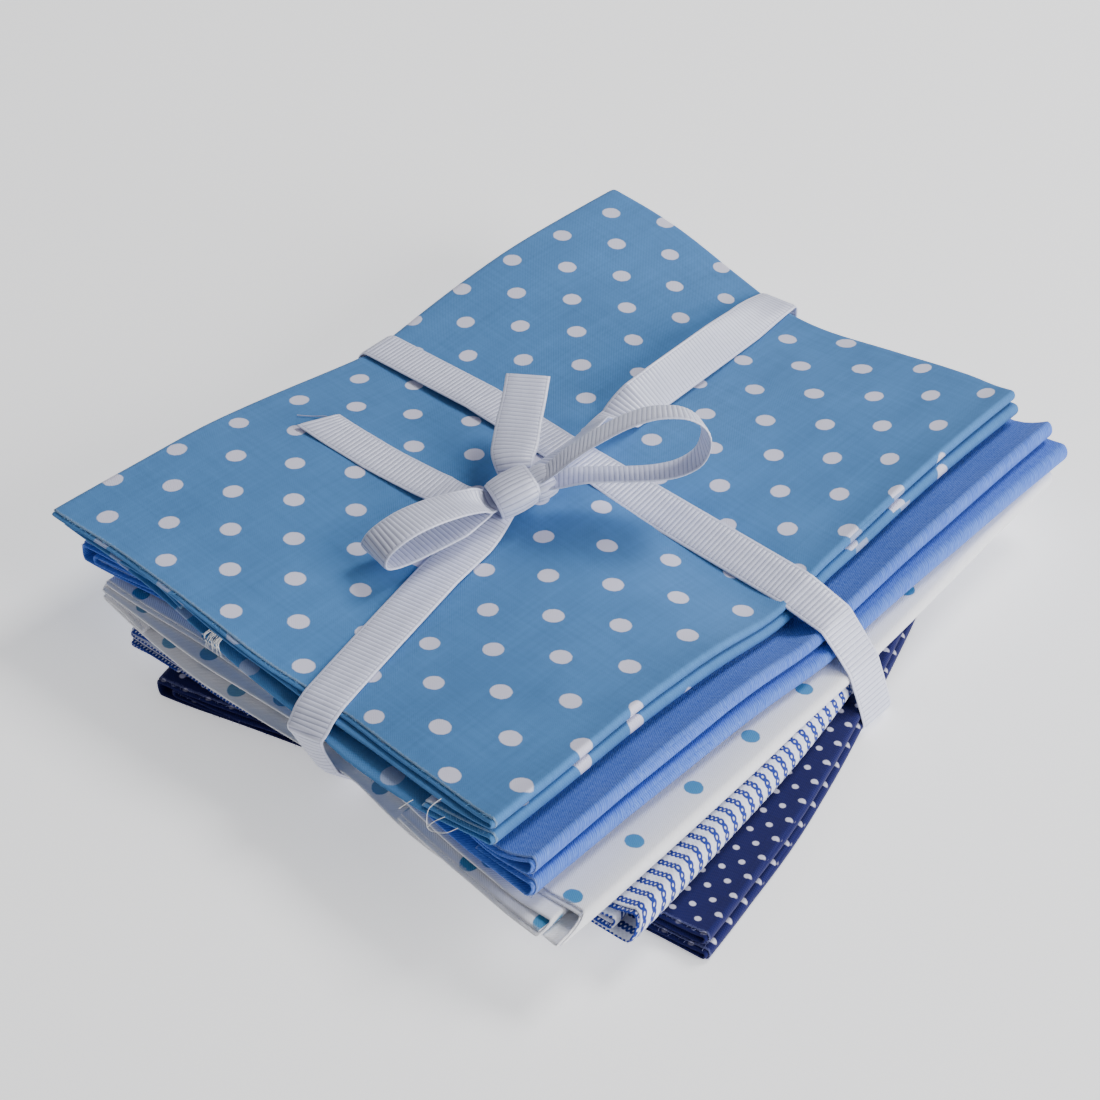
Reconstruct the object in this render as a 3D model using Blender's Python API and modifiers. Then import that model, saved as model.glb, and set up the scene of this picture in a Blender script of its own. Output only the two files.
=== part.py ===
"""Fat quarter bundle: five folded cotton cloths, fanned in a pile and tied crosswise with a ribbon and bow.

Sizes are in millimetres here and become metres when a mesh is made.  X runs along the long side of the
folded cloths, Y along the short side, Z up.  The origin lies on the surface, under the middle of the pile.
Each cloth is one back-and-forth section of its layers, drawn in the Y-Z plane and carried along X.
"""
import math

import bmesh
import bpy
from mathutils import Vector

MM = 0.001

# The folded cloth
CLOTH_LONG = 187.0        # 560 mm of cloth folded in three
CLOTH_SHORT = 141.0       # 500 mm of cloth wrapped round in four levels
SHEET = 1.0               # one level of the section: three plies pressed together
LEVEL_GAP = 0.17          # air between two levels of one cloth where the tie presses them
CLOTH_GAP = 0.5           # air between two cloths where the tie presses them
LEVELS = 4
LEVEL_PITCH = SHEET + LEVEL_GAP
CLOTH_PITCH = LEVELS * SHEET + (LEVELS - 1) * LEVEL_GAP + CLOTH_GAP
TURN_INSET = 2.2          # from a folded edge in to the line where its turn starts
INNER_TURN_INSET = 3.6    # how far the inner turn stays inside the outer one
WIDE_TUCK = 0.34          # where the raw edge lies that starts at the outer fold, as a part of the half width
SHORT_TUCK = -0.76        # where the other raw edge lies, tucked in behind the two narrow folds

# The tie
RIBBON_WIDTH = 10.0
RIBBON_THICK = 1.0
RIBBON_GAP = 0.35
TIE_LIFT = 1.8            # the bottom cloth rides this much higher over a ribbon that runs under it
LIFT_REACH = 45.0         # from the ribbon's middle line to where the bottom cloth is back on the surface
PINCH_REACH = 33.0        # width of the valley that a ribbon presses into the pile
PINCH_MIDDLE = 0.72       # how much of the pinch is left in the middle of the pile
PUFF = 0.26               # how much thicker the pile is at its corners than under the ribbon
EDGE_DRAW = 3.0           # how far the ribbon draws the cloths' edges in
EDGE_DRAW_REACH = 24.0
FAR_END_DRAW, FAR_END_REACH, FAR_END_ASIDE = 6.5, 32.0, -6.0    # the same at the far right end

# The ribbon's two middle lines in plan: y = at + slope * x for the long one, x = at + slope * y for the other
LONG_TIE_AT, LONG_TIE_SLOPE = -7.6, 0.167
CROSS_TIE_AT, CROSS_TIE_SLOPE = 4.6, -0.058
KNOT_PULL, KNOT_PULL_AT = 6.0, -12.0     # the bow draws the long ribbon's upper run aside by this, at this X
PULL_REACH = 84.0

# The point of the pile's plan that stands over the origin
PILE_CENTRE = Vector((0.75, -14.48, 0.0))

# Lines of the mesh, as parts of the half length and half width, that all five cloths share
LENGTH_LINES = (-1.0, -0.82, -0.6, -0.38, -0.17, 0.0, 0.17, 0.38, 0.6, 0.82, 1.0)
WIDTH_LINES = (-1.0, -0.76, -0.52, -0.3, -0.1, 0.1, 0.34, 0.57, 0.8, 1.0)
TURN_STEPS = 4
OUTER_TURN_STEPS = 6

# name, place from the bottom, the four corners in plan, how far the front-right edge bows out, how soft its
# folds stand open, which side the outer fold is on, and from where its mesh lines follow its own edges
CLOTHS = [
    dict(name="cloth_navy_pin_dots", place=0, front=(-67, -112), right=(100, -48), back=(72, 82), left=(-98, 30),
         bow=9.0, soft=0.2, outer_side=1, own_lines_from=-1, color=(0.012, 0.014, 0.12, 1)),
    dict(name="cloth_white_blue_stripes", place=1, front=(-78, -102), right=(96, -61), back=(79, 78),
         left=(-97, 42), bow=5.0, soft=0.5, outer_side=-1, own_lines_from=-1, color=(0.42, 0.52, 0.78, 1)),
    dict(name="cloth_white_blue_dots", place=2, front=(-89, -97), right=(92, -79), back=(88, 71), left=(-94, 53),
         bow=1.0, soft=0.6, outer_side=-1, own_lines_from=0.4, color=(0.86, 0.87, 0.9, 1)),
    dict(name="cloth_blue_chambray", place=3, front=(-92, -86), right=(95, -75), back=(91, 71), left=(-95, 61),
         bow=0.0, soft=0.8, outer_side=1, own_lines_from=0.4, color=(0.13, 0.25, 0.68, 1)),
    dict(name="cloth_sky_dots", place=4, front=(-92, -76), right=(94, -64), back=(93, 71), left=(-95, 68),
         bow=0.0, soft=0.4, outer_side=1, own_lines_from=0.5, color=(0.10, 0.30, 0.55, 1)),
]


def mix(a, b, part):
    return a + (b - a) * part


def valley(distance, reach):
    return math.exp(-(distance / reach) ** 2)


def hump(distance, reach):
    """1 over the middle line, and exactly 0 from reach outwards."""
    return max(0.0, 1.0 - (distance / reach) ** 2) ** 2


def from_long_tie(x, y):
    return (y - LONG_TIE_AT - LONG_TIE_SLOPE * x) / math.hypot(1.0, LONG_TIE_SLOPE)


def from_cross_tie(x, y):
    return (x - CROSS_TIE_AT - CROSS_TIE_SLOPE * y) / math.hypot(1.0, CROSS_TIE_SLOPE)


def settle(x, y, height):
    """Height of a point of the pile once the tie has pulled it down along its two lines."""
    long_pinch = valley(from_long_tie(x, y), PINCH_REACH)
    long_pinch *= min(1.0, mix(PINCH_MIDDLE, 1.0, (2.0 * x / CLOTH_LONG) ** 2))
    cross_pinch = valley(from_cross_tie(x, y), PINCH_REACH)
    cross_pinch *= min(1.0, mix(PINCH_MIDDLE, 1.0, (2.0 * y / CLOTH_SHORT) ** 2))
    swell = 1.0 + PUFF * (1.0 - long_pinch) * (1.0 - cross_pinch)
    return SHEET / 2 + (height - SHEET / 2) * swell + bottom_lift(x, y)


def bottom_lift(x, y):
    return TIE_LIFT * (hump(from_long_tie(x, y), LIFT_REACH) + hump(from_cross_tie(x, y), LIFT_REACH))


def own_part(line, start):
    """0 on the mesh lines that all cloths share, 1 on the cloth's own edge."""
    return max(0.0, (line - start) / (1.0 - start))


def near_edge(cloth, s):
    """Y of the front-right edge."""
    return mix(cloth["front"][1], cloth["right"][1], (s + 1.0) / 2.0) - cloth["bow"] * (1.0 - s * s)


def plan_point(cloth, s, t):
    """Point in plan; s runs -1..1 along the length, t runs -1..1 from the front-right to the back-left edge."""
    along, across = (s + 1.0) / 2.0, (t + 1.0) / 2.0
    front, right, back, left = (cloth[corner] for corner in ("front", "right", "back", "left"))
    end_near = mix(front[0], left[0], across) + EDGE_DRAW * valley(
        from_long_tie(-CLOTH_LONG / 2, mix(front[1], left[1], across)), EDGE_DRAW_REACH)
    end_far = mix(right[0], back[0], across) - FAR_END_DRAW * valley(
        from_long_tie(CLOTH_LONG / 2, mix(right[1], back[1], across)) - FAR_END_ASIDE, FAR_END_REACH)
    side_near = near_edge(cloth, s)
    side_far = mix(left[1], back[1], along) - EDGE_DRAW * valley(
        from_cross_tie(mix(left[0], back[0], along), CLOTH_SHORT / 2), EDGE_DRAW_REACH)
    x = (CLOTH_LONG * s / 2
         + (end_near + CLOTH_LONG / 2) * own_part(-s, 0.5)
         + (end_far - CLOTH_LONG / 2) * own_part(s, 0.5))
    y = (CLOTH_SHORT * t / 2
         + (side_near + CLOTH_SHORT / 2) * own_part(-t, cloth["own_lines_from"])
         + (side_far - CLOTH_SHORT / 2) * own_part(t, cloth["own_lines_from"]))
    return x, y


def level_height(cloth, level, t):
    """Middle of a level, counted from the bottom, over the bottom of the cloth; soft folds stand open."""
    opening = (0.0, 0.45, 0.55, 1.0)[level]
    edge = own_part(-t, -WIDTH_LINES[1])
    return SHEET / 2 + level * LEVEL_PITCH + cloth["soft"] * opening * edge


def lifted_by_folds(place, x, y):
    """How far the soft folds of the cloths below lift a point of the cloth at this place."""
    s = max(-1.0, min(1.0, 2.0 * x / CLOTH_LONG))
    lift = 0.0
    for cloth in CLOTHS[:place]:
        edge, line = near_edge(cloth, s), WIDTH_LINES[1]
        first_line = CLOTH_SHORT * line / 2 + (edge + CLOTH_SHORT / 2) * own_part(-line, cloth["own_lines_from"])
        lift += 1.15 * cloth["soft"] * max(0.0, min(1.0, (first_line - y) / (first_line - edge)))
    return lift


def turn(cloth, t, inset, lower, upper, rising, steps):
    """Rows (t, outward shift, height) of a half-round turn between two levels at the edge t = 1 or -1."""
    low, high = level_height(cloth, lower, t), level_height(cloth, upper, t)
    middle, half = (low + high) / 2, (high - low) / 2
    round_out = min(half, TURN_INSET - SHEET / 2)
    rows = []
    for step in range(1, steps):
        angle = math.pi * (step / steps - 0.5) * (1 if rising else -1)
        rows.append((t, t * (round_out * math.cos(angle) - inset), middle + half * math.sin(angle)))
    return rows


def section(cloth):
    """The fold as rows (t, outward shift in Y, height): raw edge, four levels, raw edge."""
    side = cloth["outer_side"]
    rows = []

    def level(index, start, stop, start_inset=TURN_INSET, stop_inset=TURN_INSET):
        lines = [line for line in WIDTH_LINES if min(start, stop) + 0.02 < line < max(start, stop) - 0.02]
        if stop < start:
            lines.reverse()
        for line in [start] + lines + [stop]:
            inset = start_inset if line == start and abs(line) == 1 else 0.0
            inset = stop_inset if line == stop and abs(line) == 1 else inset
            place = line * side
            rows.append((place, -place * inset, level_height(cloth, index, place)))

    def bend(t, inset, lower, upper, rising, steps):
        rows.extend(turn(cloth, t * side, inset, lower, upper, rising, steps))

    inner = TURN_INSET + INNER_TURN_INSET
    level(1, SHORT_TUCK, -1.0)
    bend(-1.0, TURN_INSET, 0, 1, False, TURN_STEPS)
    level(0, -1.0, 1.0)
    bend(1.0, TURN_INSET, 0, 3, True, OUTER_TURN_STEPS)
    level(3, 1.0, -1.0)
    bend(-1.0, TURN_INSET, 2, 3, False, TURN_STEPS)
    level(2, -1.0, 1.0, TURN_INSET, inner)
    bend(1.0, inner, 1, 2, False, TURN_STEPS)
    level(1, 1.0, WIDE_TUCK, inner)
    return rows


def cloth_point(cloth, s, row):
    t, shift, height = row
    x, y = plan_point(cloth, s, t)
    base = cloth["place"] * CLOTH_PITCH + lifted_by_folds(cloth["place"], x, y)
    return Vector((x, y + shift, settle(x, y, base + height)))


def add_object(collection, name, rows, thickness, color, roughness, closed=False):
    """An open surface through rows of points, given its thickness; a closed one runs on from last to first."""
    mesh = bpy.data.meshes.new(name)
    shape = bmesh.new()
    grid = [[shape.verts.new((point - PILE_CENTRE) * MM) for point in row] for row in rows]
    pairs = list(zip(grid, grid[1:]))
    if closed:
        pairs.append((grid[-1], grid[0]))
    for first, second in pairs:
        for left, right, over, under in zip(first, first[1:], second[1:], second):
            # every level is cut along the same diagonal, so that levels lie parallel
            if left.co.y <= under.co.y:
                shape.faces.new((left, right, over))
                shape.faces.new((left, over, under))
            else:
                shape.faces.new((left, right, under))
                shape.faces.new((right, over, under))
    shape.to_mesh(mesh)
    shape.free()
    thing = bpy.data.objects.new(name, mesh)
    collection.objects.link(thing)
    solid = thing.modifiers.new("thickness", 'SOLIDIFY')
    solid.thickness = thickness * MM
    solid.offset = 0.0
    mesh.materials.append(add_material(name, color, roughness))
    return thing


def add_material(name, color, roughness):
    material = bpy.data.materials.new(name)
    material.use_nodes = True
    shader = material.node_tree.nodes["Principled BSDF"]
    shader.inputs["Base Color"].default_value = color
    shader.inputs["Roughness"].default_value = roughness
    shader.inputs["Metallic"].default_value = 0.0
    return material


def add_cloth(collection, cloth):
    rows = [[cloth_point(cloth, s, row) for s in LENGTH_LINES] for row in section(cloth)]
    return add_object(collection, cloth["name"], rows, SHEET, cloth["color"], 0.9)


# The ribbon: two bands round the pile

def evaluated_points(things):
    """World vertices and edges of finished objects, in millimetres of the pile's plan."""
    graph = bpy.context.evaluated_depsgraph_get()
    for thing in things:
        mesh = thing.evaluated_get(graph).to_mesh()
        points = [thing.matrix_world @ vertex.co / MM + PILE_CENTRE for vertex in mesh.vertices]
        yield points, [tuple(edge.vertices) for edge in mesh.edges]


def pulled_aside(along, height, pull):
    """How far a band's upper run stands out of its straight line; it bends at the knot."""
    if height < len(CLOTHS) * CLOTH_PITCH / 2:
        return 0.0
    return pull * max(0.0, 1.0 - abs(along - KNOT_PULL_AT) / PULL_REACH)


def strip_outline(things, start, heading, pull):
    """Points (along, height) where what lies under a band meets planes across the band's width."""
    side = Vector((-heading.y, heading.x, 0.0))
    found = []
    for points, edges in evaluated_points(things):
        away = [(point - start).dot(side) - pulled_aside((point - start).dot(heading), point.z, pull)
                for point in points]
        for offset in (-0.55, -0.28, 0.0, 0.28, 0.55):
            level = offset * RIBBON_WIDTH
            for a, b in edges:
                if (away[a] - level) * (away[b] - level) < 0:
                    point = points[a].lerp(points[b], (level - away[a]) / (away[b] - away[a]))
                    found.append(((point - start).dot(heading), point.z))
    return found


def taut(points):
    """Convex outline of points, counter-clockwise: a ribbon pulled tight bridges every hollow."""
    points = sorted(set(points))

    def half(points):
        chain = []
        for point in points:
            while len(chain) > 1 and ((chain[-1][0] - chain[-2][0]) * (point[1] - chain[-2][1])
                                      - (chain[-1][1] - chain[-2][1]) * (point[0] - chain[-2][0])) <= 0:
                chain.pop()
            chain.append(point)
        return chain[:-1]
    return half(points) + half(points[::-1])


def band_route(outline, clearance, step=15.0, join=0.9, corner_step=math.radians(34)):
    """Outline moved out by the clearance, with round corners and a point at least every step."""
    count = len(outline)
    route = []
    for i in range(count):
        before, here, after = (Vector(outline[(i + k) % count]) for k in (-1, 0, 1))
        into, out = (here - before).normalized(), (after - here).normalized()
        start = math.atan2(-into.x, into.y)
        swing = into.angle_signed(out) * -1
        parts = max(1, math.ceil(abs(swing) / corner_step))
        for part in range(parts + 1):
            angle = start + swing * part / parts
            route.append(here + clearance * Vector((math.cos(angle), math.sin(angle))))
    spaced = [route[0]]
    for point in route[1:]:
        if (point - spaced[-1]).length > join and (point - route[0]).length > join:
            spaced.append(point)
    filled = []
    for here, after in zip(spaced, spaced[1:] + spaced[:1]):
        parts = max(1, math.ceil((after - here).length / step))
        filled.extend(here.lerp(after, part / parts) for part in range(parts))
    return filled


def add_band(collection, name, things, start, heading, pull=0.0, rides_over=None):
    """A band round everything in things; rides_over lifts its lower run over the other band."""
    outline = taut(strip_outline(things, start, heading, pull))
    side = Vector((-heading.y, heading.x, 0.0)) * RIBBON_WIDTH / 2
    rows = []
    for along, height in band_route(outline, RIBBON_GAP + RIBBON_THICK / 2):
        middle = start + heading * along
        middle += side.normalized() * pulled_aside(along, height, pull)
        if height < RIBBON_THICK:
            height = RIBBON_THICK / 2
            if rides_over:
                height += TIE_LIFT * hump(rides_over(middle.x, middle.y), LIFT_REACH)
        middle.z = height
        rows.append([middle - side, middle, middle + side])
    return add_object(collection, name, rows, RIBBON_THICK, RIBBON_COLOR, 0.6, closed=True)


# The ribbon: knot, loops and tails.  Their stations are (along, aside, up) from the knot's middle, where
# along runs to the right of the bow and aside to its back.

RIBBON_COLOR = (0.82, 0.81, 0.84, 1)
KNOT_AT = Vector((-18.5, -6.8, 34.9))
ALONG, ASIDE, UP = Vector((1, -1, 0)).normalized(), Vector((1, 1, 0)).normalized(), Vector((0, 0, 1))
KNOT_LENGTH, KNOT_DEPTH, KNOT_HEIGHT = 11.0, 10.4, 7.4
KNOT_END = 0.9            # the knot narrows to this at its two ends
KNOT_ROWS = 14
GATHERED = 4.6            # width of a ribbon where it goes into the knot

# (along, rise in the loop's own leaning plane)
RIGHT_LOOP = [(2.4, 0.8), (6.0, 0.9), (8.8, 3.4), (13.0, 7.2), (18.4, 10.8), (25.0, 15.0), (31.9, 18.7), (36.4, 20.4),
              (40.4, 19.4), (42.7, 15.6), (42.7, 11.5), (40.9, 7.9), (37.0, 5.2), (31.9, 3.8), (25.0, 3.4),
              (18.4, 3.1), (12.6, 1.8), (9.0, -0.2), (6.0, -0.75), (2.4, -0.75)]
RIGHT_LOOP_RISE = Vector((0.0, 0.342, 0.94))
RIGHT_LOOP_WIDTH = Vector((0.0, 0.94, -0.342))

# (along, aside, up)
LEFT_LOOP = [(-2.4, 0.0, 0.8), (-6.4, 0.0, 0.95), (-9.4, -2.3, 2.8), (-13.6, -6.2, 4.9), (-18.7, -10.2, 6.1),
             (-23.6, -14.2, 6.2), (-27.4, -16.8, 5.0), (-30.4, -18.7, 2.4), (-31.0, -19.2, -0.4),
             (-29.2, -18.0, -2.7), (-25.6, -15.8, -3.4), (-20.4, -12.2, -3.1), (-14.2, -8.0, -2.4),
             (-9.8, -3.8, -1.4), (-6.4, 0.0, -0.75), (-2.4, 0.0, -0.75)]
LEFT_LOOP_WIDTH = Vector((0.52, -0.85, 0.09))

RAISED_TAIL = [(0.5, 5.85, -1.0), (0.6, 9.5, 1.0), (0.4, 14.0, 2.9), (1.2, 20.0, 4.6), (2.4, 26.0, 6.1),
               (3.2, 31.8, 7.5)]

# plan points on the top cloth, and how far over it the middle of the ribbon runs
LYING_TAIL = [(-23.0, 2.0, 1.6), (-25.2, 7.0, 1.1), (-26.6, 13.0, 1.0), (-27.6, 20.0, 1.0), (-28.6, 28.0, 1.0),
              (-29.2, 36.0, 1.0), (-29.6, 43.0, 1.0), (-29.9, 50.0, 1.1)]


def top_of_pile(x, y):
    return settle(x, y, len(CLOTHS) * CLOTH_PITCH - CLOTH_GAP)


def from_knot(along, aside, up):
    return KNOT_AT + ALONG * along + ASIDE * aside + UP * up


def direction(vector):
    return ALONG * vector.x + ASIDE * vector.y + UP * vector.z


def smooth_curve(points, steps=2):
    """Catmull-Rom curve through the points."""
    curve = []
    for i in range(len(points) - 1):
        before, here = points[max(i - 1, 0)], points[i]
        after, beyond = points[i + 1], points[min(i + 2, len(points) - 1)]
        for step in range(steps):
            u = step / steps
            curve.append(0.5 * (2 * here + (after - before) * u
                                + (2 * before - 5 * here + 4 * after - beyond) * u * u
                                + (3 * here - before - 3 * after + beyond) * u ** 3))
    return curve + [points[-1]]


def add_strip(collection, name, middles, across, widths):
    """A ribbon along middles; across and widths tell for each how it lies and how far it is gathered."""
    rows = []
    for i, middle in enumerate(middles):
        ahead = middles[min(i + 1, len(middles) - 1)] - middles[max(i - 1, 0)]
        side = across[i] - ahead * across[i].dot(ahead) / ahead.length_squared
        side = side.normalized() * widths[i] / 2
        rows.append([middle - side, middle - side / 3, middle + side / 3, middle + side])
    return add_object(collection, name, rows, RIBBON_THICK, RIBBON_COLOR, 0.6)


def add_loop(collection, name, stations, root_width, width):
    """A loop of the bow: gathered and level inside the knot, full and leaning further out."""
    middles = smooth_curve(stations)
    outside = [min(1.0, max(0.0, ((point - KNOT_AT).length - 6.5) / 10.0)) for point in middles]
    across = [direction(root_width.lerp(width, part)) for part in outside]
    widths = [mix(GATHERED, RIBBON_WIDTH, part ** 0.8) for part in outside]
    add_strip(collection, name, middles, across, widths)


def add_bow(collection):
    knot = []
    for row in range(KNOT_ROWS):
        angle = 2 * math.pi * row / KNOT_ROWS
        reach = (abs(math.cos(angle)) ** 2.6 + abs(math.sin(angle)) ** 2.6) ** (-1 / 2.6)
        ring = []
        for place in (-1.0, -0.6, 0.0, 0.6, 1.0):
            girth = mix(1.0, KNOT_END, place * place)
            ring.append(from_knot(place * KNOT_LENGTH / 2,
                                  math.cos(angle) * reach * (KNOT_DEPTH - RIBBON_THICK) / 2 * girth,
                                  math.sin(angle) * reach * (KNOT_HEIGHT - RIBBON_THICK) / 2 * girth))
        knot.append(ring)
    add_object(collection, "bow_knot", knot, RIBBON_THICK, RIBBON_COLOR, 0.6, closed=True)

    add_loop(collection, "bow_loop_right",
             [from_knot(along, *(RIGHT_LOOP_RISE * rise).yz) for along, rise in RIGHT_LOOP],
             Vector((0, 1, 0)), RIGHT_LOOP_WIDTH)
    add_loop(collection, "bow_loop_left", [from_knot(*station) for station in LEFT_LOOP],
             Vector((0, -1, 0)), LEFT_LOOP_WIDTH)

    raised = smooth_curve([from_knot(*station) for station in RAISED_TAIL])
    add_strip(collection, "bow_tail_raised", raised, [ALONG + UP * 0.05] * len(raised), [9.8] * len(raised))

    lying = smooth_curve([Vector((x, y, top_of_pile(x, y) + over)) for x, y, over in LYING_TAIL])
    across = [Vector((1, 0, 0))] * len(lying)
    add_strip(collection, "bow_tail_lying", lying, across, [9.4] * len(lying))


def main():
    for thing in list(bpy.data.objects):
        bpy.data.objects.remove(thing, do_unlink=True)
    collection = bpy.data.collections.new("fat_quarter_bundle")
    bpy.context.scene.collection.children.link(collection)
    cloths = [add_cloth(collection, cloth) for cloth in CLOTHS]
    bpy.context.view_layer.update()
    cross_heading = Vector((CROSS_TIE_SLOPE, 1.0, 0.0)).normalized()
    long_heading = Vector((1.0, LONG_TIE_SLOPE, 0.0)).normalized()
    cross = add_band(collection, "tie_cross", cloths, Vector((CROSS_TIE_AT, 0, 0)), cross_heading,
                     rides_over=from_long_tie)
    bpy.context.view_layer.update()
    add_band(collection, "tie_long", cloths + [cross], Vector((0, LONG_TIE_AT, 0)), long_heading, pull=KNOT_PULL)
    add_bow(collection)


main()
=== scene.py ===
import math
import random

import bmesh
import bpy
import numpy as np
from mathutils import Matrix, Vector


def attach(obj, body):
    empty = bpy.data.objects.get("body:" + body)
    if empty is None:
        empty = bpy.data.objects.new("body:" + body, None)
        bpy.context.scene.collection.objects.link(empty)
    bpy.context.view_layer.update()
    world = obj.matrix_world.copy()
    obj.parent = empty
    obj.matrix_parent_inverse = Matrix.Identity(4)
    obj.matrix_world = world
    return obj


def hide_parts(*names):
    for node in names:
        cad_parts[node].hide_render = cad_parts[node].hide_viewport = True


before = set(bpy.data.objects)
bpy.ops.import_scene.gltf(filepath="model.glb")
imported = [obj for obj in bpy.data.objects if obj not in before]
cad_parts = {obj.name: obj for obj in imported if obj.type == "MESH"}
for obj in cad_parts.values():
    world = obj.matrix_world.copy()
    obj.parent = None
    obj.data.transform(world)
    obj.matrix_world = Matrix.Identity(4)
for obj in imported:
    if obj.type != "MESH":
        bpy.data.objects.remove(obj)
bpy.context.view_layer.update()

# A fat quarter bundle: five folded cotton cloths, fanned in a pile and tied crosswise with a ribbon and bow.
# Sizes are in millimetres and become metres when a mesh is made.  The pile has its own plan, in which X runs
# along the long side of the folded cloths and Y along the short side.

MM = 0.001

# The point of the pile's plan that stands over the frame's origin
PILE_CENTRE = np.array([0.75, -14.48, 0.0])


def linked(name, data):
    """A new object of the scene with this data."""
    thing = bpy.data.objects.new(name, data)
    bpy.context.scene.collection.objects.link(thing)
    return thing


# ---------------------------------------------------------------- camera

VIEW_ELEVATION = math.radians(41.0)
VIEW_TURN = math.radians(45.0)
VIEW_AIM = np.array([-24.56, -23.18, 30.5])
VIEW_DISTANCE = 561.3
FOCAL_PIXELS, FRAME_PIXELS = 2500.0, 1100.0
SENSOR = 36.0


def add_camera():
    level, sink = math.cos(VIEW_ELEVATION), math.sin(VIEW_ELEVATION)
    ahead = Vector((level * math.sin(VIEW_TURN), level * math.cos(VIEW_TURN), -sink))
    right = Vector((math.cos(VIEW_TURN), -math.sin(VIEW_TURN), 0.0))
    up = right.cross(ahead)
    camera = linked("camera", bpy.data.cameras.new("camera"))
    camera.data.sensor_width = SENSOR
    camera.data.lens = SENSOR * FOCAL_PIXELS / FRAME_PIXELS
    camera.data.clip_start, camera.data.clip_end = 0.01, 20.0
    turn = Matrix((right, up, -ahead)).transposed().to_4x4()
    turn.translation = (Vector(VIEW_AIM - PILE_CENTRE) - ahead * VIEW_DISTANCE) * MM
    camera.matrix_world = turn
    bpy.context.scene.camera = camera


add_camera()

# ---------------------------------------------------------------- the pile's form, as in the part's source

CLOTH_LONG, CLOTH_SHORT = 187.0, 141.0
LEVEL, LEVEL_GAP, LEVELS = 1.0, 0.17, 4
LEVEL_PITCH = LEVEL + LEVEL_GAP
CLOTH_GAP = 0.5
CLOTH_PITCH = LEVELS * LEVEL + (LEVELS - 1) * LEVEL_GAP + CLOTH_GAP
FOLD_LIFT = 1.15                           # how far a wholly soft fold lifts what lies on it
TURN_INSET, INNER_TURN_INSET = 2.2, 3.6
WIDE_TUCK, SHORT_TUCK = 0.34, -0.76
FIRST_LINE = 0.76                          # the mesh line next to a front edge in the part's source

TIE_LIFT, LIFT_REACH = 1.8, 45.0
PINCH_REACH, PINCH_MIDDLE, PUFF = 33.0, 0.72, 0.26
EDGE_DRAW, EDGE_DRAW_REACH = 3.0, 24.0
FAR_END_DRAW, FAR_END_REACH, FAR_END_ASIDE = 6.5, 32.0, -6.0
LONG_TIE_AT, LONG_TIE_SLOPE = -7.6, 0.167
CROSS_TIE_AT, CROSS_TIE_SLOPE = 4.6, -0.058
KNOT_PULL, KNOT_PULL_AT, PULL_REACH = 6.0, -12.0, 84.0

# The real cloth and ribbon
PLY = 0.27                                 # thickness of the cotton
PLY_PITCH = 0.33                           # three plies in a level
CLOTH_STEP = 3.6                           # spacing of the mesh over the flat of a cloth
RIBBON_WIDTH = 10.6                        # as measured in the photograph


def colour(red, green, blue):
    """Screen colour, 0 to 255, as the linear one that shaders take."""
    return tuple((part / 255.0) ** 2.2 for part in (red, green, blue)) + (1.0,)


# front, right, back and left are a cloth's corners in plan; bow is how far its front edge bends out, and soft
# how far its folds lift the cloths above.  own_from is the mesh line from which its own edges rule in the
# part's source, print_from the same for the lines here, which its print follows, and outer_side tells on
# which side its outer fold is.  In pairs, for the front and the right corner, rise gives how far its four
# levels rise along the front edge, lowest first, within the distance rise_within; reach_out, how far the
# lower fold comes out under the upper one; pressed, how flat the cloths above press it further in.  ends
# tells how much longer its levels are than usual, at the left.  At seven places from front to back,
# ends_along gives how much of that holds, and pulled_in how far all its levels are drawn in.  threads are the
# light and the dark colour of its threads.
USUAL = dict(print_from=-1, outer_side=1, reach_out=(0.0, 0.0), pressed=(0.0, 0.0),
             ends_along=(1.0, 0.87, 0.73, 0.58, 0.43, 0.25, 0.0), pulled_in=(0, 0, 0, 0, 0, 0, 0))
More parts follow.
